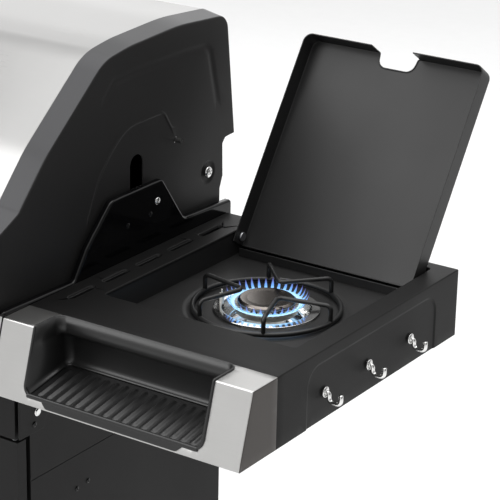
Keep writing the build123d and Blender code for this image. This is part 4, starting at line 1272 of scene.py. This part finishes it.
def flame_material() -> bpy.types.Material:
    """Blue burning gas: bright near the ports, violet and thin at the tips."""
    made = bpy.data.materials.new("burning_gas")
    made.use_nodes = True
    nodes, links = made.node_tree.nodes, made.node_tree.links
    nodes.clear()
    out = nodes.new("ShaderNodeOutputMaterial")
    clear = nodes.new("ShaderNodeBsdfTransparent")
    glow = nodes.new("ShaderNodeEmission")
    mix = nodes.new("ShaderNodeMixShader")
    place = nodes.new("ShaderNodeTexCoord")
    split = nodes.new("ShaderNodeSeparateXYZ")
    ramp = nodes.new("ShaderNodeValToRGB")
    fade = nodes.new("ShaderNodeMapRange")
    links.new(place.outputs["Generated"], split.inputs["Vector"])
    links.new(split.outputs["Z"], ramp.inputs["Fac"])
    links.new(split.outputs["Z"], fade.inputs["Value"])
    fade.inputs["From Min"].default_value = 0.15
    fade.inputs["From Max"].default_value = 0.95
    fade.inputs["To Min"].default_value = 0.75
    fade.inputs["To Max"].default_value = 0.05
    ramp.color_ramp.elements[0].color = (0.62, 0.92, 1.0, 1)
    ramp.color_ramp.elements[1].color = (0.22, 0.14, 0.60, 1)
    middle = ramp.color_ramp.elements.new(0.36)
    middle.color = (0.16, 0.42, 0.95, 1)
    glow.inputs["Strength"].default_value = 1.6
    links.new(ramp.outputs["Color"], glow.inputs["Color"])
    links.new(fade.outputs["Result"], mix.inputs["Fac"])
    links.new(clear.outputs["BSDF"], mix.inputs[1])
    links.new(glow.outputs["Emission"], mix.inputs[2])
    links.new(mix.outputs["Shader"], out.inputs["Surface"])
    return made


# ---------------------------------------------------------------- side shelf
@dataclass
class SideShelf(Assembly):
    """Both side shelves: pressed tops and sides, with the right one's burner pan and hooks."""

    width: float = 320.0
    depth: float = 374.7
    height: float = 80.2
    sheet: float = 1.5
    bend: float = 1.8
    opening_x: tuple[float, float] = (45.4, 293.2)
    opening_y: tuple[float, float] = (73.5, 358.0)
    pan_floor: float = -30.4
    burner: tuple[float, float] = (169.3, 208.0)
    upstand_y: float = 325.0
    slot_x: tuple[float, float] = (18.0, 26.0)
    slot_y: tuple[float, ...] = (63.5, 125.0, 186.5, 248.0, 309.5)
    slot_length: float = 44.0
    recess_y: tuple[float, float] = (58.0, 324.0)
    hook_y: tuple[float, ...] = (91.5, 179.5, 268.0)
    hook_z: float = -49.0
    hook_reach: float = 22.0
    hook_wire: float = 2.5

    def build(self) -> None:
        """Build both shelves, the pan and the hooks."""
        right = self.put(self.shell("right_side_shelf", True), "cart", Slot.POWDER, "shelf_right")
        left = mirrored(self.shell("shelf_blank", False), "left_side_shelf")
        bpy.data.objects.remove(bpy.data.objects["shelf_blank"])
        self.put(left, "cart", Slot.POWDER, "shelf_left")
        for shelf in (right, left):
            shelf.data.materials.append(UNDERSIDE.material())
        self.put(self.pan(), "cart", Slot.POWDER, "burner_pan", finish=LID_COAT)
        self.put(self.hooks(), "cart", Slot.BRIGHT, "tool_hooks")

    def shell(self, name: str, with_burner: bool) -> bpy.types.Object:
        """A shelf's top and turned-down sides.

        Args:
            name: the new object's name.
            with_burner: whether it has the opening, the tool slots and the field in its side.

        Returns:
            The new object.
        """
        wide, deep, low = (0.0, self.width), (0.0, self.depth), (-self.height, 0.0)
        holes, presses = [], []
        if with_burner:
            holes.append(rectangle(self.opening_x, self.opening_y, 4.0))
            half = self.slot_length / 2
            holes += [rectangle(self.slot_x, (y - half, y + half), 3.9) for y in self.slot_y]
            field_line = rectangle(self.recess_y, (-self.height - 60, -14.0), 22.0)
            presses.append(Press(Form.FIELD, field_line, 4.0, -1.3))
        top = self._face("top", wide, deep, top_plane(0, 0, 0), holes, [])
        top.hole_flange = self.sheet
        right = self._face("right", deep, low, plane_matrix(DATUM.shelf(self.width, 0, 0), Vector((0, 1, 0)),
                                                            Vector((0, 0, 1))), [], presses)
        left = self._face("left", (-self.depth, 0.0), low,
                          plane_matrix(DATUM.shelf(0, 0, 0), Vector((0, -1, 0)), Vector((0, 0, 1))), [], [])
        back = self._face("back", (-self.width, 0.0), low,
                          plane_matrix(DATUM.shelf(0, self.depth, 0), Vector((-1, 0, 0)), Vector((0, 0, 1))), [], [])
        return folded(name, [top, right, left, back], self.sheet, self.bend, True)

    def _face(self, name: str, u: tuple[float, float], v: tuple[float, float], place: Matrix,
              holes: list[list[Vector]], presses: list[Press]) -> Sheet:
        """One rectangular face of the shell, with evenly divided edges."""
        loop = [Vector((u[0], v[0])), Vector((u[1], v[0])), Vector((u[1], v[1])), Vector((u[0], v[1]))]
        return Sheet(name, divided(loop, 14.0, True), place, holes, presses, spacing=14.0)

    def pan(self) -> bpy.types.Object:
        """Drawn pan with a dished floor, the burner hole and a low rib in front of the hinge."""
        x, y = self.opening_x, self.opening_y
        loop = divided(rectangle(x, y, 6.0), 12.0, True)
        dish = circle(*self.burner, 92.0, 72)
        floor = Sheet("burner_pan_floor", loop, top_plane(0, 0, self.pan_floor), [circle(*self.burner, 56.0, 64)],
                      [Press(Form.FIELD, dish, 7.0, -1.2)], 1.2, self.pan_floor + 2.0, 1.5)
        pan = folded("floor", [floor], 1.2, 3.5)
        strip = rectangle((52.0, 286.0), (self.upstand_y, self.upstand_y + 1.5), 0.3)
        rib = prism("rib", strip, top_plane(0, 0, 0), (self.pan_floor, -20.0), 0.5)
        return joined("drawn_burner_pan", [pan, rib])

    def hooks(self) -> bpy.types.Object:
        """Three chromed J hooks with their collars."""
        parts = []
        for y in self.hook_y:
            tip = self.width + self.hook_reach - self.hook_wire
            low = self.hook_z - 10
            corners = [(self.width - 1, self.hook_z), (self.width + 5, self.hook_z), (self.width + 5, low),
                       (tip, low), (tip, self.hook_z + 0.2)]
            points = [DATUM.shelf(x, y, z) for x, z in corners]
            path = rounded(points, [0, 2.6 * MM, 4.8 * MM, 4.8 * MM, 0], False, 8.0)
            parts.append(tube("hook", path, self.hook_wire, 20))
            rows = [(0, 0, 0), (6, 0, 0.2), (6, 1.6, 0.8), (4, 2.5, 0.5), (0, 2.5, 0)]
            place = plane_matrix(DATUM.shelf(self.width, y, self.hook_z), Vector((0, 1, 0)), Vector((0, 0, 1)))
            parts.append(lathe("collar", outline(rows, False), place, 48))
        return joined("chromed_hooks", parts)


# ---------------------------------------------------------------- side-burner lid
@dataclass
class BurnerLid(Assembly):
    """Folded lid of the side burner, held open, with its finger notch."""

    x: tuple[float, float] = (47.9, 290.7)
    y: tuple[float, float] = (75.6, 343.4)
    top: float = 2.8
    flange: float = 24.0
    corner: float = 11.0
    notch: tuple[float, float] = (142.8, 193.6)
    notch_depth: float = 18.5
    pivot: tuple[float, float] = (333.7, -8.3)
    opened: float = 123.6

    def build(self) -> None:
        """Build the lid."""
        self.put(self.lid(), "lid", Slot.POWDER, "side_lid", finish=LID_COAT)

    def lid(self) -> bpy.types.Object:
        """The lid's sheet, drawn shut and then swung open about its pivot."""
        (x0, x1), (y0, y1), (n0, n1) = self.x, self.y, self.notch
        rows = [(x0, y0, self.corner), (n0, y0, 4.0), (n0 + 3, y0 + self.notch_depth, 15.0),
                (n1 - 3, y0 + self.notch_depth, 15.0), (n1, y0, 4.0), (x1, y0, self.corner), (x1, y1, 0), (x0, y1, 0)]
        loop = divided(outline(rows), 14.0, True)

        def turned(point: Vector) -> bool:
            """Only the front and the two sides are turned down, not the notch or the hinge edge."""
            in_notch = n0 - 4 < point.x < n1 + 4 and point.y > y0 + 0.3
            return not in_notch and point.y < y1 - 0.5

        pivot = DATUM.shelf(0, *self.pivot)
        swing = Matrix.Translation(pivot) @ Matrix.Rotation(math.radians(-self.opened), 4, "X")
        place = swing @ Matrix.Translation(-pivot) @ top_plane(0, 0, self.top)
        sheet = Sheet("side_burner_lid", loop, place, [], [Press(Form.EDGE, loop, 2.2)], 1.3, self.flange,
                      spacing=16.0, turned=turned)
        return sheet.build()


# ---------------------------------------------------------------- shelf front
@dataclass
class ShelfFront(Assembly):
    """Stainless fascia folded round the shelf's front, with its drop-in tray."""

    width: float = 320.0
    height: float = 80.2
    top_depth: float = 43.1
    bottom_depth: float = 66.5
    mouth: tuple[float, float] = (44.0, 273.0)
    mouth_back: float = -1.6
    mouth_low: float = 73.5
    corner: float = 12.0
    ledge: float = -20.0
    deep_back: float = 11.0
    floor_back: float = -57.0
    floor_front: float = -70.0
    fillet: float = 6.0
    ribs: int = 17
    rib_height: float = 1.9
    lip: tuple[float, float] = (75.0, 243.0)

    @property
    def lean(self) -> float:
        """How far the front leans back from upright, in radians."""
        return math.atan2(self.bottom_depth - self.top_depth, self.height)

    @property
    def slant(self) -> float:
        """Height of the slanted front, measured along it."""
        return math.hypot(self.bottom_depth - self.top_depth, self.height)

    def front_y(self, z: float) -> float:
        """Shelf Y of the slanted front at a height."""
        return -self.top_depth + z * math.tan(self.lean)

    def build(self) -> None:
        """Build both fascias and the tray."""
        right = self.put(self.fascia("right_fascia", True), "cart", Slot.STAINLESS, "fascia_right", finish=FASCIA_STEEL)
        left = mirrored(self.fascia("fascia_blank", False), "left_fascia")
        bpy.data.objects.remove(bpy.data.objects["fascia_blank"])
        self.put(left, "cart", Slot.STAINLESS, "fascia_left", finish=FASCIA_STEEL)
        for fascia in (right, left):
            # The fascia's sideways-facing end faces take the darker steel copy: painted shade and painted dark
            # reflection.
            fascia.data.materials.append(FASCIA_END_PAINTED_SHADE.material())
            for polygon in fascia.data.polygons:
                polygon.material_index = int(abs(polygon.normal.x) > 0.9)
        self.put(self.tray(), "cart", Slot.SATIN, "tray")

    def fascia(self, name: str, with_mouth: bool) -> bpy.types.Object:
        """The folded front sheet with both ends closed.

        Args:
            name: the new object's name.
            with_mouth: whether the tray's mouth is cut out of it.

        Returns:
            The new object.
        """
        m0, m1 = self.mouth
        wide, slant, back = self.width, self.slant, self.mouth_back
        front_rows = [(0, -slant, 0), (wide, -slant, 0), (wide, 0, 0)]
        top_rows = [(wide, 0, 0), (0, 0, 0), (0, -self.top_depth, 0)]
        if with_mouth:
            front_rows += [(m1, 0, 0), (m1, -self.mouth_low, self.corner), (m0, -self.mouth_low, self.corner),
                           (m0, 0, 0)]
            top_rows += [(m0, -self.top_depth, 0), (m0, back, self.corner), (m1, back, self.corner),
                         (m1, -self.top_depth, 0)]
        front_rows.append((0, 0, 0))
        top_rows.append((wide, -self.top_depth, 0))
        lean = self.lean
        up_front = Vector((0, math.sin(lean), math.cos(lean)))
        front_place = plane_matrix(DATUM.shelf(0, -self.top_depth, 0), Vector((1, 0, 0)), up_front)
        bottom = [(0, 0, 0), (wide, 0, 0), (wide, 20, 0), (0, 20, 0)]
        low_corner = DATUM.shelf(0, -self.bottom_depth, -self.height)
        bottom_place = plane_matrix(low_corner, Vector((1, 0, 0)), Vector((0, 1, 0)))
        end = [(0, 0, 0), (0, -self.height, 0), (-self.bottom_depth, -self.height, 0), (-self.top_depth, 0, 0)]
        planes = [("front", front_rows, front_place), ("top", top_rows, top_plane(0, 0, 0)),
                  ("bottom", bottom, bottom_place)]
        planes += [("end", end, plane_matrix(DATUM.shelf(x, 0, 0), Vector((0, 1, 0)), Vector((0, 0, 1))))
                   for x in (0.0, wide)]
        faces = []
        for face, rows, place in planes:
            loop = divided(outline(rows), 10.0, True)
            faces.append(Sheet(face, loop if area(loop) > 0 else loop[::-1], place, spacing=12.0))
        return folded(name, faces, 1.2, 1.6)

    def _u_line(self, inset: float, back: float, front: float) -> list[Vector]:
        """Plan of the tray's left, back and right walls."""
        x0, x1 = self.mouth[0] + inset, self.mouth[1] - inset
        radius = max(3.0, self.corner - inset)
        rows = [(x0, front, 0), (x0, back - inset, radius), (x1, back - inset, radius), (x1, front, 0)]
        return outline(rows, False)

    def _floor(self, y: float) -> float:
        """Height of the tray's sloping floor."""
        front = self.front_y(self.floor_front)
        share = (y - front) / (self.deep_back - front)
        return self.floor_front + (self.floor_back - self.floor_front) * share

    def tray(self) -> bpy.types.Object:
        """Bin with a ledge, a ribbed floor, a rolled rim round its mouth and a pouring lip."""
        sections: list[list[Vector]] = []
        stages = [(0.8, self.mouth_back, 0.6), (0.8, self.mouth_back, self.ledge + 3),
                  (0.8, self.mouth_back + 1.5, self.ledge + 1), (0.8, self.deep_back - 3, self.ledge - 1.0),
                  (0.8, self.deep_back, self.ledge - 4)]
        for inset, back, z in stages:
            line = self._u_line(inset, back, self.front_y(z))
            sections.append([Vector((p.x, p.y, z)) for p in line])
        for angle in (0, 22, 45, 67, 90):
            turn = math.radians(angle)
            inset = 0.8 + self.fillet * (1 - math.cos(turn))
            rise = self.fillet * (1 - math.sin(turn))
            line = self._u_line(inset, self.deep_back, self.front_y(self.floor_front))
            sections.append([Vector((p.x, p.y, self._floor(p.y) + rise)) for p in line])
        pieces = []
        for name, rows in (("walls", sections), ("floor", self._floor_rows())):
            skin = surface_from(rows, False)
            bmesh.ops.recalc_face_normals(skin, faces=skin.faces)
            turn_outward(skin, Vector((0, 0, 1)))
            piece = object_from(name, skin, shelf_space())
            solid = piece.modifiers.new("sheet_thickness", "SOLIDIFY")
            solid.thickness = 1.2 * MM
            solid.offset = -1.0
            pieces.append(piece)
        return joined("drop_in_tray", [*pieces, self.rim(), *self.lips()])

    def _floor_rows(self) -> list[list[Vector]]:
        """Rows of the tray's floor, from the mouth to the back, with rounded ribs along it."""
        inset = 0.8 + self.fillet
        x0, x1 = self.mouth[0] + inset, self.mouth[1] - inset
        front, back = self.front_y(self.floor_front), self.deep_back - inset
        radius = max(3.0, self.corner - inset)
        ys = np.concatenate([np.linspace(front, front + 10, 11), np.linspace(front + 10, back - 16, 10)[1:],
                             np.linspace(back - 16, back, 19)[1:]])
        first, last = x0 + 9, x1 - 9
        middles = np.linspace(first, last, self.ribs)
        rows: list[list[Vector]] = []
        for y in ys:
            round_off = max(0.0, y - (back - radius))
            cut = radius - math.sqrt(max(0.0, radius ** 2 - round_off ** 2))
            xs = np.linspace(x0 + cut, x1 - cut, 241)
            along = min(y - (front + 3.5), back - 5.0 - y)
            across = np.abs(xs[:, None] - middles[None, :]).min(axis=1)
            past = max(0.0, 4.5 - along)
            gap = np.hypot(across, past)
            rise = self.rib_height * (0.5 + 0.5 * np.cos(np.pi * np.clip(gap / 4.6, 0, 1)))
            rows.append([Vector((x, y, self._floor(y) + up)) for x, up in zip(xs, rise)])
        return rows

    def rim(self) -> bpy.types.Object:
        """The rolled rim round the mouth, over the fascia's edge."""
        m0, m1 = self.mouth
        low = -self.mouth_low * math.cos(self.lean)
        front = -self.top_depth
        corners = [(m0, self.front_y(low), low), (m0, front, 0), (m0, self.mouth_back, 0), (m1, self.mouth_back, 0),
                   (m1, front, 0), (m1, self.front_y(low), low)]
        points = [DATUM.shelf(*corner) for corner in corners]
        radii = [self.corner * MM, 2.0 * MM, self.corner * MM, self.corner * MM, 2.0 * MM, self.corner * MM]
        return tube("rim", rounded(points, radii, True, 8.0), 1.7, 14, True)

    def lips(self) -> list[bpy.types.Object]:
        """The front edge of the floor and the lower pouring lip that hang over the fascia."""
        lean = self.lean
        up_front = Vector((0, math.sin(lean), math.cos(lean)))
        place = plane_matrix(DATUM.shelf(0, -self.top_depth, 0), Vector((1, 0, 0)), up_front)
        m0, m1 = self.mouth
        edge = rectangle((m0 + 4, m1 - 4), (-self.mouth_low - 1.8, -self.mouth_low + 3.4), 2.2)
        l0, l1 = self.lip
        low = -self.mouth_low - 8.0
        rows = [(l0 - 10, -self.mouth_low + 2, 3), (l0, low, 6), (l1, low, 6), (l1 + 10, -self.mouth_low + 2, 3)]
        return [prism("edge", edge, place, (-3.0, 2.0), 1.6, 4),
                prism("lip", outline(rows), place, (-1.0, 1.9), 1.4, 4)]


def shelf_space() -> Matrix:
    """Matrix from shelf millimetres to metres in the frame."""
    return Matrix.Translation(DATUM.origin) @ Matrix.Scale(MM, 4)


# ---------------------------------------------------------------- screws
class Head(Enum):
    """The screw and bolt heads of the grill."""

    PAN = "pan head with a cross recess"
    HEX = "flanged hexagon head"


@dataclass
class Screws(Assembly):
    """Visible heads of the bolts and screws, and the doors' hinge pins."""

    cap_face: float = 338.5
    panel_face: float = 350.0
    bracket_face: float = 347.0
    cart_face: float = 345.0
    hinge: tuple[float, float] = (350.5, 55.2)
    panel_screw: tuple[float, float] = (232.3, 53.7)
    dark_screws: tuple[tuple[float, float], ...] = ((218.9, 41.1), (176.1, 39.4))
    bracket_screws: tuple[tuple[float, float], ...] = ((14.7, -132.2), (38.7, -130.0))
    bracket_dark: tuple[float, float] = (9.2, -145.9)
    cart_dark: tuple[tuple[float, float], ...] = ((85.5, -256.8), (105.9, -254.8))
    lid_pivot: tuple[float, float] = (333.7, -8.3)
    pan_walls: tuple[float, float] = (45.4, 293.2)
    lid_walls: tuple[float, float] = (49.9, 288.7)

    def build(self) -> None:
        """Build the bright and the dark heads of both sides, and the pins."""
        bright = [self.head(self.cap_face, self.hinge, 7.0, Head.PAN),
                  self.head(self.panel_face, self.panel_screw, 4.6, Head.PAN)]
        bright += [self.head(self.bracket_face, place, 4.0, Head.HEX) for place in self.bracket_screws]
        dark = [self.head(self.panel_face - 0.6, place, 3.6, Head.PAN) for place in self.dark_screws]
        dark.append(self.head(self.bracket_face, self.bracket_dark, 3.6, Head.PAN))
        dark += [self.head(self.cart_face, place, 3.4, Head.PAN) for place in self.cart_dark]
        for name, heads, slot in (("bright", bright, Slot.BRIGHT), ("black", dark, Slot.ENAMEL)):
            right = joined(f"right_{name}_screws", heads)
            left = mirrored(right, f"left_{name}_screws")
            self.put(right, "cart", slot)
            self.put(left, "cart", slot)
        self.put(joined("hinge_bolts_and_pins", [*self.lid_bolts(), *self.pins()]), "cart", Slot.ZINC, "fasteners")

    def head(self, x: float, place: tuple[float, float], radius: float, kind: Head) -> bpy.types.Object:
        """One head on a face that looks right.

        Args:
            x: distance of the face from the middle.
            place: shelf Y and Z of the screw.
            radius: of the head.
            kind: which head.

        Returns:
            The head, with a short shank behind it.
        """
        plane = plane_matrix(DATUM.mid(x, *place), Vector((0, 1, 0)), Vector((0, 0, 1)))
        plane = plane @ Matrix.Rotation(0.6, 4, "Z")
        if kind is Head.HEX:
            rows = [(0, 0, 0), (radius * 1.3, 0, 0.2), (radius * 1.3, 0.8, 0.3), (0, 0.8, 0)]
            washer = lathe("washer", outline(rows, False), plane, 40)
            turns = [math.radians(60 * number) for number in range(6)]
            loop = [Vector((radius * math.cos(turn), radius * math.sin(turn))) for turn in turns]
            return joined("hex", [washer, prism("nut", loop, plane, (0.5, 2.0), 0.4)])
        arm, slot, deep = radius * 0.52, radius * 0.11, radius * 0.30
        crown = radius * 0.42
        turns = [math.radians(angle) for angle in range(80, 0, -6)]
        top = [(radius * math.sin(turn), crown * math.cos(turn)) for turn in turns]
        fine = [(radius * share, crown * math.sqrt(1 - share ** 2)) for share in np.linspace(0.55, 0.0, 22)]
        profile = [Vector((0, -2)), Vector((radius * 0.5, -2)), Vector((radius, 0))]
        profile += [Vector(point) for point in top if point[0] > radius * 0.58] + [Vector(point) for point in fine]

        def recess(point: Vector) -> Vector:
            """Sink the cross into the head's top."""
            across, along = abs(point.x), abs(point.y)
            in_cross = (across < arm and along < slot) or (along < arm and across < slot)
            if point.z > 0 and in_cross:
                return Vector((point.x, point.y, point.z - deep))
            return point

        return lathe("pan_head", profile, plane, 72, recess)

    def lid_bolts(self) -> list[bpy.types.Object]:
        """The lid's two short pivot bolts."""
        bolts = []
        for wall, lid, side in ((self.pan_walls[0], self.lid_walls[0], 1), (self.pan_walls[1], self.lid_walls[1], -1)):
            reach = abs(lid - wall)
            rows = [(0, 0, 0), (3, 0, 0), (3, reach, 0), (5.5, reach, 0.3), (5.5, reach + 2.6, 1.3),
                    (0, reach + 2.9, 0)]
            place = plane_matrix(DATUM.shelf(wall, *self.lid_pivot), Vector((0, side, 0)), Vector((0, 0, 1)))
            bolts.append(lathe("lid_bolt", outline(rows, False), place, 40))
        return bolts

    def pins(self) -> list[bpy.types.Object]:
        """The doors' upper and lower hinge pins."""
        low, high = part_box("door_right")
        pins = []
        for side in (-1, 1):
            x = DATUM.middle + side * (high.x - DATUM.middle - 9.5 * MM)
            y = low.y + 7.5 * MM
            for start, end in ((low.z - 6 * MM, low.z + 14 * MM), (high.z - 14 * MM, high.z + 3 * MM)):
                pins.append(tube("pin", [Vector((x, y, start)), Vector((x, y, end))], 3.0, 20))
        return pins


# ---------------------------------------------------------------- pieces kept from the frame
@dataclass
class KeptNodes(Assembly):
    """Frame pieces whose shape is right: soft edges and a real finish."""

    radius: dict[str, float] = field(default_factory=lambda: {
        "side_panel_right": 1.0, "side_panel_left": 1.0, "front_rail": 0.8, "door_right": 2.0, "door_left": 2.0,
        "corner_brackets": 0.4, "heat_tents": 0.5,
    })
    finish: dict[str, Finish] = field(default_factory=lambda: {"control_panel": FASCIA_STEEL})

    def build(self) -> None:
        """Soften and dress every node that no piece has replaced."""
        slots = {part["node"]: Slot(part["material_slot"]) for part in frame["record"]["subparts"]}
        for node, obj in frame["nodes"].items():
            if obj.hide_render:
                continue
            if node in self.radius:
                softened(node, self.radius[node])
            finish = self.finish.get(node, FINISHES[slots[node]])
            for place in obj.material_slots:
                place.material = finish.material()


# ---------------------------------------------------------------- studio
@dataclass(frozen=True)
class SoftBox:
    """One square soft light.

    Attributes:
        name: the light's name.
        place: where it hangs, in metres.
        target: what it points at.
        size: its side in metres.
        power: watts.
    """

    name: str
    place: tuple[float, float, float]
    target: tuple[float, float, float]
    size: float
    power: float

    def build(self) -> None:
        """Hang the light and point it."""
        data = bpy.data.lights.new(self.name, "AREA")
        data.size = self.size
        data.energy = self.power
        light = bpy.data.objects.new(self.name, data)
        light.location = self.place
        light.rotation_euler = (Vector(self.target) - Vector(self.place)).to_track_quat("-Z", "Y").to_euler()
        bpy.context.scene.collection.objects.link(light)


@dataclass
class Studio:
    """Pale floor, soft lights and the camera.

    Attributes:
        azimuth: degrees that the camera stands round to the right of the front.
        elevation: degrees that it looks down.
        roll: degrees that it leans.
        lens: focal length in millimetres on a 36 mm sensor.
        aim: shelf point in the middle of the view.
        distance: metres from that point.
        floor_size: side of the floor in metres.
        floor_gap: how far the floor lies under the wheels, in metres.
        horizon: brightness of the surroundings level with the grill, as a share of overhead.
        horizon_height: upward share of a direction where the surroundings start to brighten.
        dim_from: rightward share of a direction where the surroundings start to dim.
        dim_to: rightward share of a direction where they are dimmest.
        open_side: brightness of the surroundings away from the right.
        dim_side: brightness of the surroundings on the right.
        boxes: the soft lights.
    """

    azimuth: float = 33.589
    elevation: float = 20.548
    roll: float = 1.223
    lens: float = 151.37
    aim: tuple[float, float, float] = (95.7, 282.9, 0.0)
    distance: float = 2.4302
    floor_size: float = 60.0
    floor_gap: float = 0.0005
    horizon: float = 0.70
    horizon_height: float = 0.45
    dim_from: float = 0.15
    dim_to: float = 0.85
    open_side: float = 1.30
    dim_side: float = 0.30
    boxes: tuple[SoftBox, ...] = (
        SoftBox("overhead", (0.2, 0.3, 3.6), (0.1, 0.0, 0.8), 3.0, 46.0),
        SoftBox("front_left", (-1.7, -2.6, 3.4), (0.3, 0.0, 0.9), 2.4, 62.0),
        SoftBox("back_left", (-2.0, 3.2, 2.2), (0.2, 0.0, 0.8), 2.4, 13.0),
    )

    def build(self) -> None:
        """Set up everything that is not the grill."""
        bpy.context.scene.view_settings.view_transform = "Standard"
        self.camera()
        self.floor()
        self.world()
        for box in self.boxes:
            box.build()

    def camera(self) -> None:
        """Make the camera and look through it."""
        turn, tilt = math.radians(self.azimuth), math.radians(self.elevation)
        back = Vector((math.sin(turn) * math.cos(tilt), -math.cos(turn) * math.cos(tilt), math.sin(tilt)))
        data = bpy.data.cameras.new("camera")
        data.lens = self.lens
        data.sensor_width = 36.0
        data.clip_end = 100.0
        camera = bpy.data.objects.new("camera", data)
        bpy.context.scene.collection.objects.link(camera)
        right = Vector((math.cos(turn), math.sin(turn), 0.0))
        up = back.cross(right)
        lean = math.radians(self.roll)
        x_axis = right * math.cos(lean) + up * math.sin(lean)
        y_axis = up * math.cos(lean) - right * math.sin(lean)
        frame_turn = Matrix((x_axis, y_axis, back)).transposed().to_4x4()
        camera.matrix_world = Matrix.Translation(DATUM.shelf(*self.aim) + back * self.distance) @ frame_turn
        bpy.context.scene.camera = camera

    def floor(self) -> None:
        """A wide pale floor."""
        half = self.floor_size / 2
        mesh = bmesh.new()
        spots = ((-half, -half), (half, -half), (half, half), (-half, half))
        mesh.faces.new([mesh.verts.new((x, y, -self.floor_gap)) for x, y in spots])
        floor = object_from("studio_floor", mesh, Matrix.Identity(4))
        pale = Finish("pale_floor", (0.90, 0.90, 0.90), 0.9, patch=0.01, grain_size=40.0, bump=0.0, specular=0.1)
        floor.data.materials.append(pale.material())

    def world(self) -> None:
        """Soft light from all round, brighter overhead and dimmer on the right."""
        world = bpy.data.worlds.new("studio")
        world.use_nodes = True
        nodes, links = world.node_tree.nodes, world.node_tree.links
        background = nodes["Background"]
        place = nodes.new("ShaderNodeTexCoord")
        split = nodes.new("ShaderNodeSeparateXYZ")
        ramp = nodes.new("ShaderNodeValToRGB")
        ramp.color_ramp.elements[0].position = self.horizon_height
        ramp.color_ramp.elements[0].color = (self.horizon, self.horizon, self.horizon, 1.0)
        ramp.color_ramp.elements[1].color = (1.0, 1.0, 1.0, 1.0)
        links.new(place.outputs["Generated"], split.inputs["Vector"])
        links.new(split.outputs["Z"], ramp.inputs["Fac"])
        links.new(ramp.outputs["Color"], background.inputs["Color"])
        side = nodes.new("ShaderNodeMapRange")
        side.inputs["From Min"].default_value = self.dim_from
        side.inputs["From Max"].default_value = self.dim_to
        side.inputs["To Min"].default_value = self.open_side
        side.inputs["To Max"].default_value = self.dim_side
        links.new(split.outputs["X"], side.inputs["Value"])
        links.new(side.outputs["Result"], background.inputs["Strength"])
        bpy.context.scene.world = world


def main() -> None:
    """Build the studio and every sub-assembly, then dress what is left of the frame."""
    logging.basicConfig(level=logging.INFO, format="%(message)s")
    Studio().build()
    for assembly in (Hood(), Firebox(), SideShelf(), BurnerLid(), ShelfFront(), SideBurner(), Screws(), KeptNodes()):
        LOG.info("building %s", type(assembly).__name__)
        assembly.build()


if __name__ == "__main__":
    main()
